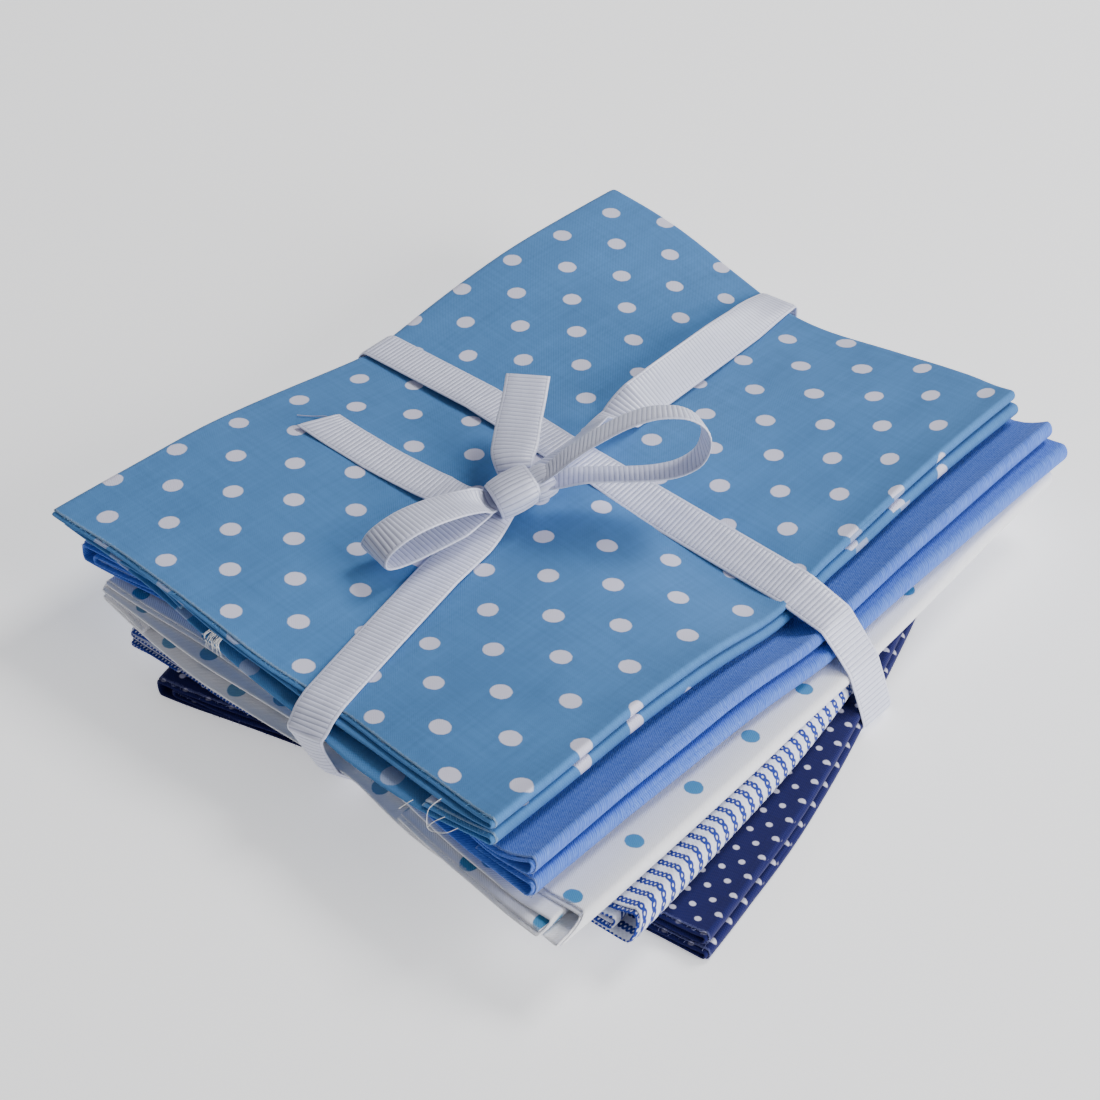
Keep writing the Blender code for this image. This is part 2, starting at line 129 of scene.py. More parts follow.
CLOTHS = [
    dict(USUAL, node="cloth_navy_pin_dots", front=(-67, -112), right=(100, -48), back=(72, 82),
         left=(-98, 30), bow=9.0, soft=0.2, own_from=-1,
         rise=((0.0, 0.3, 0.4, 0.8), (0.0, 0.3, 0.4, 0.6)), rise_within=9.0, reach_out=(1.2, 0.6),
         ends=(0.8, 0.4, 0.0, -0.6),
         threads=(colour(150, 155, 205), colour(30, 34, 92))),
    dict(USUAL, node="cloth_white_blue_stripes", front=(-78, -102), right=(96, -61), back=(79, 78),
         left=(-97, 42), bow=5.0, soft=0.5, own_from=-1, outer_side=-1,
         rise=((0.0, 0.9, 1.5, 2.3), (0.0, 0.5, 0.7, 1.2)), rise_within=12.0, ends=(1.5, 2.0, 0.5, -1.5),
         threads=(colour(214, 220, 245), colour(90, 110, 180))),
    dict(USUAL, node="cloth_white_blue_dots", front=(-89, -97), right=(92, -79), back=(88, 71),
         left=(-94, 53), bow=1.0, soft=0.6, own_from=0.4, outer_side=-1,
         rise=((0.0, -0.2, -0.6, -1.0), (0.0, -0.5, -0.9, -1.6)), rise_within=11.0, pressed=(1.3, 1.2),
         ends=(7.0, 8.0, 3.0, -1.6), ends_along=(0.9, 0.8, 0.7, 0.5, 0.58, 0.65, 0.25),
         threads=(colour(236, 238, 250), colour(196, 202, 226))),
    dict(USUAL, node="cloth_blue_chambray", front=(-92, -86), right=(95, -75), back=(91, 71), left=(-95, 61),
         bow=0.0, soft=0.8, own_from=0.4,
         rise=((-0.9, 0.9, 1.1, 3.0), (-1.6, 1.2, 1.1, 3.6)), rise_within=12.0, reach_out=(1.4, 5.0),
         pressed=(1.5, 1.0), ends=(2.0, 1.0, -0.5, -1.5), pulled_in=(0, 1, 3, 5, 7, 7, 1),
         threads=(colour(130, 160, 226), colour(48, 82, 180))),
    dict(USUAL, node="cloth_sky_dots", front=(-92, -76), right=(94, -64), back=(93, 71), left=(-95, 68),
         bow=0.0, soft=0.4, own_from=0.5, print_from=0.5,
         rise=((-1.2, 0.1, 0.2, 0.6), (-0.5, 0.3, 0.3, 0.7)), rise_within=9.0, reach_out=(0.6, 1.6),
         ends=(4.0, 5.0, 0.5, -0.6), ends_along=(0.0, 0.8, 1.2, 1.05, 0.3, -0.4, -0.6),
         threads=(colour(118, 164, 206), colour(72, 124, 174))),
]
PILE_HEIGHT = len(CLOTHS) * CLOTH_PITCH


def mix(a, b, part):
    return a + (b - a) * part


def ramp(value, start, stop):
    """0 up to the start, 1 from the stop onwards."""
    return np.clip((value - start) / (stop - start), 0.0, 1.0)


def eased(share):
    return share ** 2 * (3 - 2 * share)


def valley(distance, reach):
    return np.exp(-(distance / reach) ** 2)


def hump(distance, reach):
    return np.maximum(0.0, 1.0 - (distance / reach) ** 2) ** 2


def from_long_tie(x, y):
    return (y - LONG_TIE_AT - LONG_TIE_SLOPE * x) / math.hypot(1.0, LONG_TIE_SLOPE)


def from_cross_tie(x, y):
    return (x - CROSS_TIE_AT - CROSS_TIE_SLOPE * y) / math.hypot(1.0, CROSS_TIE_SLOPE)


def pinch(away, along, length):
    """How tightly a tie holds the pile, away from its line and along it; most near its two ends."""
    return valley(away, PINCH_REACH) * np.minimum(1.0, mix(PINCH_MIDDLE, 1.0, (2.0 * along / length) ** 2))


def settle(x, y, height):
    """Height of a point of the pile once the tie has pulled it down along its two lines."""
    off_long, off_cross = from_long_tie(x, y), from_cross_tie(x, y)
    swell = 1.0 + PUFF * (1.0 - pinch(off_long, x, CLOTH_LONG)) * (1.0 - pinch(off_cross, y, CLOTH_SHORT))
    lift = TIE_LIFT * (hump(off_long, LIFT_REACH) + hump(off_cross, LIFT_REACH))
    return LEVEL / 2 + (height - LEVEL / 2) * swell + lift


def own_part(line, start):
    return np.maximum(0.0, (line - start) / (1.0 - start))


def near_edge(cloth, s):
    return mix(cloth["front"][1], cloth["right"][1], (s + 1.0) / 2.0) - cloth["bow"] * (1.0 - s * s)


def plan_point(cloth, s, t):
    """Point in plan; s runs -1..1 along the length, t from the front right to the back left edge."""
    along, across = (s + 1.0) / 2.0, (t + 1.0) / 2.0
    front, right, back, left = (cloth[corner] for corner in ("front", "right", "back", "left"))
    end_near = mix(front[0], left[0], across) + EDGE_DRAW * valley(
        from_long_tie(-CLOTH_LONG / 2, mix(front[1], left[1], across)), EDGE_DRAW_REACH)
    end_far = mix(right[0], back[0], across) - FAR_END_DRAW * valley(
        from_long_tie(CLOTH_LONG / 2, mix(right[1], back[1], across)) - FAR_END_ASIDE, FAR_END_REACH)
    side_near = near_edge(cloth, s)
    side_far = mix(left[1], back[1], along) - EDGE_DRAW * valley(
        from_cross_tie(mix(left[0], back[0], along), CLOTH_SHORT / 2), EDGE_DRAW_REACH)
    x = (CLOTH_LONG * s / 2
         + (end_near + CLOTH_LONG / 2) * own_part(-s, cloth["print_from"])
         + (end_far - CLOTH_LONG / 2) * own_part(s, cloth["print_from"]))
    y = (CLOTH_SHORT * t / 2
         + (side_near + CLOTH_SHORT / 2) * own_part(-t, cloth["print_from"])
         + (side_far - CLOTH_SHORT / 2) * own_part(t, cloth["print_from"]))
    return x, y


def lifted_by_folds(place, x, y):
    """How far the soft folds of the cloths below lift a point of the cloth at this place."""
    s = np.clip(2.0 * x / CLOTH_LONG, -1.0, 1.0)
    lift = 0.0 * x
    for cloth in CLOTHS[:place]:
        edge = near_edge(cloth, s)
        own = own_part(FIRST_LINE, cloth["own_from"])
        first = -CLOTH_SHORT * FIRST_LINE / 2 + (edge + CLOTH_SHORT / 2) * own
        lift = lift + FOLD_LIFT * cloth["soft"] * ramp(y, first, edge)
    return lift


def top_of_pile(x, y):
    return settle(x, y, PILE_HEIGHT - CLOTH_GAP)


# ---------------------------------------------------------------- node trees

def operator(operation, swapped=False):
    """A method of Socket that adds a Math node."""
    def put_node(self, other):
        return self.nodes.maths(operation, *((other, self) if swapped else (self, other)))
    return put_node


class Socket:
    """A number in a node tree.  Arithmetic on it adds Math nodes to the tree."""

    def __init__(self, nodes, output):
        self.nodes, self.output = nodes, output

    __add__, __radd__ = operator("ADD"), operator("ADD", swapped=True)
    __sub__, __rsub__ = operator("SUBTRACT"), operator("SUBTRACT", swapped=True)
    __mul__, __rmul__ = operator("MULTIPLY"), operator("MULTIPLY", swapped=True)
    __truediv__, __rtruediv__ = operator("DIVIDE"), operator("DIVIDE", swapped=True)
    __pow__, __rpow__ = operator("POWER"), operator("POWER", swapped=True)


class Nodes:
    """Adds nodes to one shader or geometry tree."""

    def __init__(self, tree):
        self.tree = tree

    def put(self, node, sockets):
        """Links or sets the node's inputs."""
        for name, value in sockets.items():
            if isinstance(value, Socket):
                self.tree.links.new(value.output, node.inputs[name])
            else:
                node.inputs[name].default_value = value

    def add(self, kind, settings=None, sockets=None, output=0):
        node = self.tree.nodes.new(kind)
        for name, value in (settings or {}).items():
            setattr(node, name, value)
        self.put(node, sockets or {})
        return Socket(self, node.outputs[output])

    def maths(self, operation, *values):
        return self.add("ShaderNodeMath", {"operation": operation}, dict(enumerate(values)))

    def scaled(self, vector, factor):
        return self.add("ShaderNodeVectorMath", {"operation": "SCALE"}, {0: vector, "Scale": factor})

    def vector(self, x, y, z=0.0):
        return self.add("ShaderNodeCombineXYZ", {}, {"X": x, "Y": y, "Z": z})

    def flat_place(self):
        """Where a point is on the flat piece, in mm, from its own UV map."""
        place = self.add("ShaderNodeUVMap", {"uv_map": "flat"})
        split = self.add("ShaderNodeSeparateXYZ", {}, {0: place}).output.node
        return [Socket(self, split.outputs[name]) / MM for name in ("X", "Y")]

    def mixed(self, factor, first, second):
        return self.add("ShaderNodeMix", {"data_type": "RGBA"}, {0: factor, 6: first, 7: second}, output=2)

    def inside(self, distance, radius, soft):
        """1 nearer than the radius, 0 further off."""
        return self.add("ShaderNodeMapRange", {"interpolation_type": "SMOOTHSTEP"},
                        {"Value": distance, "From Min": radius - soft, "From Max": radius + soft,
                         "To Min": 1.0, "To Max": 0.0})

    def noise(self, vector, scale, detail=2.0):
        return self.add("ShaderNodeTexNoise", {}, {"Vector": vector, "Scale": scale, "Detail": detail})


def named_tree(name, numbers):
    """A geometry tree with the given named numbers, a material and one mesh in and out."""
    tree = bpy.data.node_groups.new(name, "GeometryNodeTree")
    tree.interface.new_socket("Geometry", in_out="INPUT", socket_type="NodeSocketGeometry")
    for label in numbers:
        kind = "NodeSocketInt" if label == "Seed" else "NodeSocketFloat"
        tree.interface.new_socket(label, in_out="INPUT", socket_type=kind)
    tree.interface.new_socket("Material", in_out="INPUT", socket_type="NodeSocketMaterial")
    tree.interface.new_socket("Geometry", in_out="OUTPUT", socket_type="NodeSocketGeometry")
    nodes = Nodes(tree)
    given = tree.nodes.new("NodeGroupInput")
    sockets = {output.name: Socket(nodes, output) for output in given.outputs if output.name}
    return tree, nodes, sockets


def end_tree(nodes, shape, material):
    shape = nodes.add("GeometryNodeRealizeInstances", {}, {0: shape})
    shape = nodes.add("GeometryNodeSetMaterial", {}, {"Geometry": shape, "Material": material})
    result = nodes.tree.nodes.new("NodeGroupOutput")
    nodes.tree.links.new(shape.output, result.inputs[0])


def through_tree(thing, tree, values):
    """The object after its tree, as a plain mesh."""
    modifier = thing.modifiers.new(tree.name, "NODES")
    modifier.node_group = tree
    for item in tree.interface.items_tree:
        if item.in_out == "INPUT" and item.name in values:
            modifier[item.identifier] = values[item.name]
    return finished(thing)


def new_finish(name):
    """A material, its nodes and its shader."""
    material = bpy.data.materials.new(name)
    material.use_nodes = True
    return material, Nodes(material.node_tree), material.node_tree.nodes["Principled BSDF"]


# ---------------------------------------------------------------- cottons

RAW_EDGE, RAW_EDGE_PALE = 0.85, 0.5        # how far in from a raw edge its thread ends show, and how strongly


class Cotton:
    """A cotton's material with its place on the cloth: x and y in mm from the middle of the folded top."""

    def __init__(self, name, origin, side):
        self.material, self.nodes, self.shader = new_finish(name)
        x, y = self.nodes.flat_place()
        self.x, self.y = x - origin[0], (origin[1] - y) * side

    def finish(self, base, height, relief, fray):
        """Joins colour and weave to the shader; raw edges show the pale ends of the threads."""
        m = self.nodes
        edge = m.add("ShaderNodeAttribute", {"attribute_name": "from_raw_edge"}, {}, output=2)
        ragged = m.noise(m.vector(self.x, self.y), 2.2)
        shown = m.inside(edge + ragged, RAW_EDGE, 0.3) * RAW_EDGE_PALE
        bump = m.add("ShaderNodeBump", {}, {"Height": height, "Strength": 1.0, "Distance": relief * MM})
        m.put(self.shader, {"Base Color": m.mixed(shown, base, fray), "Roughness": 0.88, "Sheen Weight": 0.12,
                            "Sheen Roughness": 0.5, "Specular IOR Level": 0.25, "Normal": bump})
        return self.material


def plain_weave(m, x, y, yarn):
    """Over and under of a plain weave, 0 to 1."""
    return m.maths("SINE", x * (math.pi / yarn)) * m.maths("SINE", y * (math.pi / yarn)) * 0.5 + 0.5


def twill_lines(m, x, y, pitch):
    """Slanting lines of a twill weave, 0 to 1, a little uneven."""
    uneven = m.noise(m.vector(x, y), 1.3) * 0.35
    return m.maths("SINE", (x - y * 0.8 + uneven) * (2 * math.pi / pitch)) * 0.5 + 0.5


def streaks(m, x, y, fine=2.2, long=0.035):
    """Uneven yarns: thin long streaks both ways of the weave, about 0.5."""
    warp = m.noise(m.vector(x * fine, y * long), 1.0, 3.0)
    weft = m.noise(m.vector(x * long, y * fine, 7.0), 1.0, 3.0)
    return warp * 0.5 + weft * 0.5


def printed_dots(m, x, y, wide, high, radius, ragged):
    """Round dots at the corners and in the middle of every wide by high rectangle."""
    def from_corner(x, y):
        across = m.maths("WRAP", x, wide / 2, -wide / 2)
        up = m.maths("WRAP", y, high / 2, -high / 2)
        return m.maths("SQRT", across * across + up * up)

    away = m.maths("MINIMUM", from_corner(x, y), from_corner(x + wide / 2, y + high / 2))
    away = away + (m.noise(m.vector(x, y), 1.1) - 0.5) * ragged
    return m.inside(away, radius, 0.16)


def shaded(m, base, amount, dark, light):
    """The base colour between a darker and a lighter form of itself."""
    tone = m.add("ShaderNodeMapRange", {}, {"Value": amount, "From Min": 0.3, "From Max": 0.7,
                                            "To Min": dark, "To Max": light})
    return m.scaled(base[:3], tone)


# dots of the top cloth: the way from one to the next along the cloth and across it, the place of one, and
# their radius
SKY_DOT_STEPS = ((17.0, -1.85), (-0.6, -22.4))
SKY_DOT_AT, SKY_DOT_RADIUS = (-55.5, -58.0), 2.3


def sky_dots(name, origin, side, printed=1.0):
    cotton = Cotton(name, origin, side)
    m, x, y = cotton.nodes, cotton.x, cotton.y
    (ax, ay), (bx, by) = SKY_DOT_STEPS
    wide, high, area = math.hypot(ax, ay), math.hypot(bx, by), ax * by - bx * ay
    from_dot_x, from_dot_y = x - SKY_DOT_AT[0], y - SKY_DOT_AT[1]
    along = (from_dot_x * by - from_dot_y * bx) * (wide / area)
    across = (from_dot_y * ax - from_dot_x * ay) * (high / area)
    dots = printed_dots(m, along, across, wide, high, SKY_DOT_RADIUS, 0.3) * printed
    cloudy = m.noise(m.vector(x * 0.05, y * 0.09), 1.0, 3.0)
    ground = shaded(m, colour(76, 129, 187), streaks(m, x, y, 1.1, 0.05) * 0.6 + cloudy * 0.4, 0.82, 1.17)
    base = m.mixed(dots, ground, colour(222, 220, 240))
    return cotton.finish(base, plain_weave(m, x, y, 0.3), 0.05, colour(190, 215, 232))


def chambray(name, origin, side):
    cotton = Cotton(name, origin, side)
    m, x, y = cotton.nodes, cotton.x, cotton.y
    twill = twill_lines(m, x, y, 0.54)
    uneven = streaks(m, x, y, 1.6, 0.08)
    flecks = m.noise(m.vector(x * 1.6 - y * 1.4, x * 0.4 + y * 0.4), 1.5, 3.0)
    tone = m.add("ShaderNodeMapRange", {}, {"Value": twill * 0.18 + uneven * 0.42 + flecks * 0.46,
                                            "From Min": 0.34, "From Max": 0.80})
    base = m.mixed(tone, colour(52, 90, 190), colour(112, 152, 236))
    return cotton.finish(base, twill * 0.7 + uneven * 0.3, 0.055, colour(165, 190, 235))


def white_twill_dots(name, origin, side, printed=1.0):
    cotton = Cotton(name, origin, side)
    m, x, y = cotton.nodes, cotton.x, cotton.y
    spacing, radius = 20.8, 2.05
    dots = printed_dots(m, x + 7.5, y + 85.5, spacing, spacing, radius, 0.3) * printed
    twill = twill_lines(m, x, y, 0.52)
    ground = shaded(m, colour(250, 250, 255), streaks(m, x, y, 1.4, 0.05) * 0.75 + twill * 0.25, 0.94, 1.02)
    base = m.mixed(dots, ground, colour(70, 140, 188))
    return cotton.finish(base, twill, 0.038, colour(244, 243, 250))


def ring_stripes(name, origin, side):
    """Stripes across the cloth, each a chain of small dark rings that touch."""
    cotton = Cotton(name, origin, side)
    m, x, y = cotton.nodes, cotton.x, cotton.y
    stripe, link = 3.5, 0.98
    ring_half_width, ring_half_height = 0.92, 0.62
    uneven = m.noise(m.vector(x, y), 0.9) - 0.5
    across = m.maths("WRAP", x + uneven * 0.3, stripe / 2, -stripe / 2)
    up = m.maths("WRAP", y + uneven * 0.4, link / 2, -link / 2)
    away = m.maths("SQRT", (across / ring_half_width) ** 2 + (up / ring_half_height) ** 2)
    ring = m.inside(away, 1.0, 0.12) * (1.0 - m.inside(away, 0.3, 0.12) * 0.9)
    weave = plain_weave(m, x, y, 0.5)
    base = m.mixed(ring, shaded(m, colour(232, 236, 252), weave, 0.95, 1.03), colour(34, 54, 142))
    return cotton.finish(base, weave * 0.5 + ring * 0.7, 0.09, colour(235, 236, 245))


def navy_pin_dots(name, origin, side, printed=1.0):
    cotton = Cotton(name, origin, side)
    m, x, y = cotton.nodes, cotton.x, cotton.y
    wide, high, radius = 6.9, 5.9, 0.72
    dots = printed_dots(m, x, y, wide, high, radius, 0.2) * printed
    weave = plain_weave(m, x, y, 0.3)
    ground = shaded(m, colour(20, 24, 84), streaks(m, x, y) * 0.7 + weave * 0.3, 0.8, 1.2)
    base = m.mixed(dots, ground, colour(222, 220, 238))
    return cotton.finish(base, weave, 0.05, colour(120, 125, 180))


# ---------------------------------------------------------------- meshes

def wander(seed, place, wave, size):
    """A smooth random line: three sine waves with chances of their own."""
    chance = random.Random(seed)
    total = 0.0 * place
    for part in (1.0, 0.61, 0.37):
        turns = 2.0 * math.pi / (wave * part * chance.uniform(0.85, 1.2))
        total = total + part * np.sin(place * turns + chance.uniform(0.0, 6.28))
    return total * size / 1.6


def distance_along(line):
    """How far along the line each of its points lies."""
    return np.concatenate(([0.0], np.cumsum(np.linalg.norm(np.diff(line, axis=0), axis=1))))


def surface(name, points, flat, labels, closed=False, flip=False):
    """A mesh through a grid of points (rows, columns, 3) in the pile's plan, with each point's place on the
    flat piece, in mm, as its UV map.  A closed one runs on from its last row to its first."""
    rows, columns = points.shape[:2]
    number = np.arange(rows * columns).reshape(rows, columns)
    if closed:
        number = np.vstack((number, number[:1]))
        seam = flat[:1].copy()
        seam[..., 0] += flat[-1, 0, 0] * 2 - flat[-2, 0, 0] - flat[0, 0, 0]
        flat = np.concatenate((flat, seam))
    order = [(0, 0), (0, 1), (1, 1), (1, 0)]
    if flip:
        order.reverse()

    def around(grid):
        last = grid.shape[0] - 1, grid.shape[1] - 1
        return np.stack([grid[r:last[0] + r, c:last[1] + c] for r, c in order], 2)

    corners = around(number).reshape(-1, 4)
    mesh = bpy.data.meshes.new(name)
    mesh.from_pydata(((points.reshape(-1, 3) - PILE_CENTRE) * MM).tolist(), [], corners.tolist())
    mesh.polygons.foreach_set("use_smooth", [True] * len(corners))
    layer = mesh.uv_layers.new(name="flat")
    layer.data.foreach_set("uv", (around(flat) * MM).astype(np.float32).reshape(-1))
    for label, values in labels.items():
        values = np.broadcast_to(values, (rows, columns))
        mesh.attributes.new(label, "FLOAT", "POINT").data.foreach_set(
            "value", np.ascontiguousarray(values, np.float32).reshape(-1))
    return linked(name, mesh)


def finished(thing):
    """The evaluated object as a plain mesh, with no modifier left."""
    name = thing.name
    bpy.context.view_layer.update()
    graph = bpy.context.evaluated_depsgraph_get()
    mesh = bpy.data.meshes.new_from_object(thing.evaluated_get(graph), preserve_all_data_layers=True,
                                           depsgraph=graph)
    bpy.data.objects.remove(thing)
    mesh.name = name
    return linked(name, mesh)


def joined(first, second):
    """Both meshes in the first object."""
    shape = bmesh.new()
    shape.from_mesh(first.data)
    shape.from_mesh(second.data)
    shape.to_mesh(first.data)
    shape.free()
    bpy.data.objects.remove(second)
    return first


def smooth_curve(points, steps=12):
    """Catmull-Rom curve through the points, with any further values that they carry."""
    points = np.asarray(points, float)
    padded = np.vstack((points[:1], points, points[-1:]))
    curve = []
    for i in range(len(points) - 1):
        before, here, after, beyond = padded[i:i + 4]
        for u in np.arange(steps) / steps:
            curve.append(0.5 * (2 * here + (after - before) * u
                                + (2 * before - 5 * here + 4 * after - beyond) * u * u
                                + (3 * here - before - 3 * after + beyond) * u ** 3))
    return np.array(curve + [points[-1]])


# ---------------------------------------------------------------- loose threads

def round_thread(g, line, width, resolution):
    """A round thread along a curve, with closed ends."""
    outline = g.add("GeometryNodeCurvePrimitiveCircle", {"mode": "RADIUS"},
                    {"Resolution": resolution, "Radius": width * 0.5})
    return g.add("GeometryNodeCurveToMesh", {}, {"Curve": line, "Profile Curve": outline, "Fill Caps": True})


def frayed_edge_tree():
    """Short thread ends that stick out of a raw edge towards -X, each bent and turned in its own way."""
    tree, g, given = named_tree("frayed_edge", ("Spacing", "Thread Length", "Thread Width", "Seed"))
    edge = g.add("GeometryNodeMeshToCurve", {}, {0: given["Geometry"]})
    roots = g.add("GeometryNodeResampleCurve", {"mode": "LENGTH"},
                  {"Curve": edge, "Length": given["Spacing"]})
    reach = given["Thread Length"]
    bend = g.add("GeometryNodeCurveQuadraticBezier", {}, {
        "Resolution": 4, "Start": g.vector(reach * 0.2, 0.0, 0.0),
        "Middle": g.vector(reach * -0.6, 0.0, reach * 0.3), "End": g.vector(reach * -1.0, 0.0, reach * -0.2)})
    thread = round_thread(g, bend, given["Thread Width"], 3)
    turned = g.add("FunctionNodeRandomValue", {"data_type": "FLOAT_VECTOR"},
                   {0: (0.0, -0.5, -1.1), 1: (6.28, 0.35, 1.1), "Seed": given["Seed"]})
    longer = g.add("FunctionNodeRandomValue", {"data_type": "FLOAT"},
                   {2: 0.15, 3: 1.0, "Seed": given["Seed"] + 1.0}, output=1)
    fringe = g.add("GeometryNodeInstanceOnPoints", {}, {
        "Points": roots, "Instance": thread, "Rotation": turned, "Scale": g.vector(longer ** 2.0, 1.0, 1.0)})
    end_tree(g, fringe, given["Material"])
    return tree


def loose_thread_tree():
    """Round threads along given lines."""
    tree, g, given = named_tree("loose_thread", ("Thread Width",))
    line = g.add("GeometryNodeMeshToCurve", {}, {0: given["Geometry"]})
    end_tree(g, round_thread(g, line, given["Thread Width"], 5), given["Material"])
    return tree


def line_mesh(name, lines):
    """The lines, given as points in the pile's plan, as one mesh of edges."""
    points, edges = [], []
    for line in lines:
        edges += [(len(points) + i, len(points) + i + 1) for i in range(len(line) - 1)]
        points += ((np.asarray(line) - PILE_CENTRE) * MM).tolist()
    mesh = bpy.data.meshes.new(name)
    mesh.from_pydata(points, edges, [])
    return linked(name, mesh)


def loose_threads(name, lines, width, material):
    drawn = line_mesh(name, [smooth_curve(line, 5) for line in lines])
    return through_tree(drawn, LOOSE_THREAD, {"Thread Width": width * MM, "Material": material})


def thread_finish(name, light, dark):
    """Single cotton threads, paler where they are rubbed."""
    material, m, shader = new_finish(name)
    place = m.add("ShaderNodeTexCoord", output="Object")
    worn = m.inside(m.noise(place, 0.9 / MM), 0.5, 0.2)
    m.put(shader, {"Base Color": m.mixed(worn, light, dark), "Roughness": 0.85 + worn * 0.1})
    return material


# ---------------------------------------------------------------- folded cloths

PRESSED_AT, PRESSED_REACH = 14.0, 13.0     # how far in from the front edge the cloths above press most
REACH_OUT_WITHIN = 30.0                    # the lower fold slants out over this distance
INNER_TURN = (1, 2)                        # the two levels that the inner turn joins
PLY_TURN_REACH = 0.9                       # how far a turn from ply to ply stands out
END_PLACES = (-1.0, -0.75, -0.45, -0.15, 0.15, 0.5, 1.0)      # t where ends_along and pulled_in hold

# How the cloths' edges wander: length of the wave and its size
END_WANDER, SIDE_WANDER = (95.0, 0.9), (160.0, 0.6)
CORNER_REACH, CORNER_DRAW = 3.0, 1.6       # where and how far the ends of a fold are drawn in

# Creases: height, heading and length of the wave; how much, along which heading and over what length it
# wanders, and where it and the wandering start
CREASES = [
    (0.22, (0.52, 0.85), 7.5, 1.1, (1.0, 0.0), 41.0, 0.0, 0.0),
    (0.14, (0.93, -0.36), 5.1, 1.4, (0.0, 1.0), 33.0, 2.0, 0.0),
    (0.30, (0.35, -0.94), 11.0, 1.3, (1.0, 0.0), 27.0, 0.0, 0.6)]
CREASE_REACH, CREASE_LEAST = 30.0, 0.35    # how near to a tie they are deep, and their share elsewhere
DENT, DENT_REACH = 0.35, 6.5               # the dents under the ties
# Beside the front arm of the cross tie, on its left, the cloth sinks more
SUNK, SUNK_ASIDE, SUNK_LEFT_REACH, SUNK_RIGHT_REACH = 2.2, -6.5, 15.0, 9.0


def at_corners(pair, s):
    """A value given at the front and at the right corner, along the front edge."""
    return mix(pair[0], pair[1], (s + 1.0) / 2.0)


def edge_rise(cloth, s, level, inward):
    """How far a level, or a place between two levels, rises near the front edge."""
    rise = at_corners([np.interp(level, range(LEVELS), levels) for levels in cloth["rise"]], s)
    pressed = at_corners(cloth["pressed"], s) * hump(inward - PRESSED_AT, PRESSED_REACH)
    return rise * ramp(inward, cloth["rise_within"], 0.0) ** 2 - pressed * level / (LEVELS - 1)


def spaced(start, stop, step):
    """Even places from start to stop, with closer ones near both ends."""
    length = abs(stop - start)
    count = max(2, math.ceil(length / step) + 4)
    places = []
    for i in range(count + 1):
        part = i / count
        part -= 0.085 * math.sin(4 * math.pi * part) / 2 + 0.05 * math.sin(2 * math.pi * part)
        places.append(mix(start, stop, part))
    return places


def section(cloth):
    """The fold as rows: t, outward shift in Y, height, level, normal in Y and in Z, the levels that a turn
    joins, and the distance along the cloth.  It runs raw edge, level 1, 0, 3, 2, 1, raw edge."""
    side = cloth["outer_side"]
    half = CLOTH_SHORT / 2
    rows = []

    def level(index, start, stop):
        up = 1.0 if stop < start else -1.0
        for y in spaced(start, stop, CLOTH_STEP):
            rows.append((y / half * side, 0.0, LEVEL / 2 + index * LEVEL_PITCH, index, 0.0, up, index, index))

    def turn(edge, inset, lower, upper, rising, steps):
        low, high = LEVEL / 2 + lower * LEVEL_PITCH, LEVEL / 2 + upper * LEVEL_PITCH
        middle, radius = (low + high) / 2, (high - low) / 2
        push = min(radius, TURN_INSET - LEVEL / 2)
        # the cloth's face looks out of every turn but the inner one
        facing = -1.0 if (lower, upper) == INNER_TURN else 1.0
        for step in range(1, steps):
            angle = math.pi * (step / steps - 0.5) * (1 if rising else -1)
            between = mix(lower, upper, 0.5 + 0.5 * math.sin(angle))
            t = edge * (half - inset) / half
            out, up = math.cos(angle), math.sin(angle)
            rows.append((t * side, side * edge * push * out, middle + radius * up, between,
                         side * edge * facing * out, facing * up, lower, upper))

    outer, inner = half - TURN_INSET, half - TURN_INSET - INNER_TURN_INSET
    level(1, SHORT_TUCK * half, -outer)
    turn(-1.0, TURN_INSET, 0, 1, False, 10)
    level(0, -outer, outer)
    turn(1.0, TURN_INSET, 0, 3, True, 14)
    level(3, outer, -outer)
    turn(-1.0, TURN_INSET, 2, 3, False, 10)
    level(2, -outer, inner)
    turn(1.0, TURN_INSET + INNER_TURN_INSET, 1, 2, False, 8)
    level(1, inner, WIDE_TUCK * half)
    table = np.array(rows)
    along = distance_along(np.column_stack((table[:, 0] * half + table[:, 1], table[:, 2])))
    return np.column_stack((table, along))


def plies():
    """The folding in three as columns: s, outward shift in X, offset from the level's middle, flat distance.
    It runs from the raw edge at the near end along the outer ply, back along the middle one and out again."""
    columns = []
    half, reach = CLOTH_LONG / 2, PLY_TURN_REACH

    def run(start, stop, offset):
        for x in spaced(start * (half - reach), stop * (half - reach), CLOTH_STEP):
            columns.append((x / half, 0.0, offset))

    def turn(end, high, low):
        middle, radius = (high + low) / 2, (high - low) / 2
        for step in range(1, 6):
            angle = math.pi * (0.5 - step / 6)
            columns.append((end * (half - reach) / half, end * reach * math.cos(angle),
                            middle + radius * math.sin(angle)))

    run(-1.0, 1.0, PLY_PITCH)
    turn(1.0, PLY_PITCH, 0.0)
    run(1.0, -1.0, 0.0)
    turn(-1.0, 0.0, -PLY_PITCH)
    run(-1.0, 1.0, -PLY_PITCH)
    table = np.array(columns)
    along = distance_along(np.column_stack((table[:, 0] * half + table[:, 1], table[:, 2])))
    return np.column_stack((table, along))


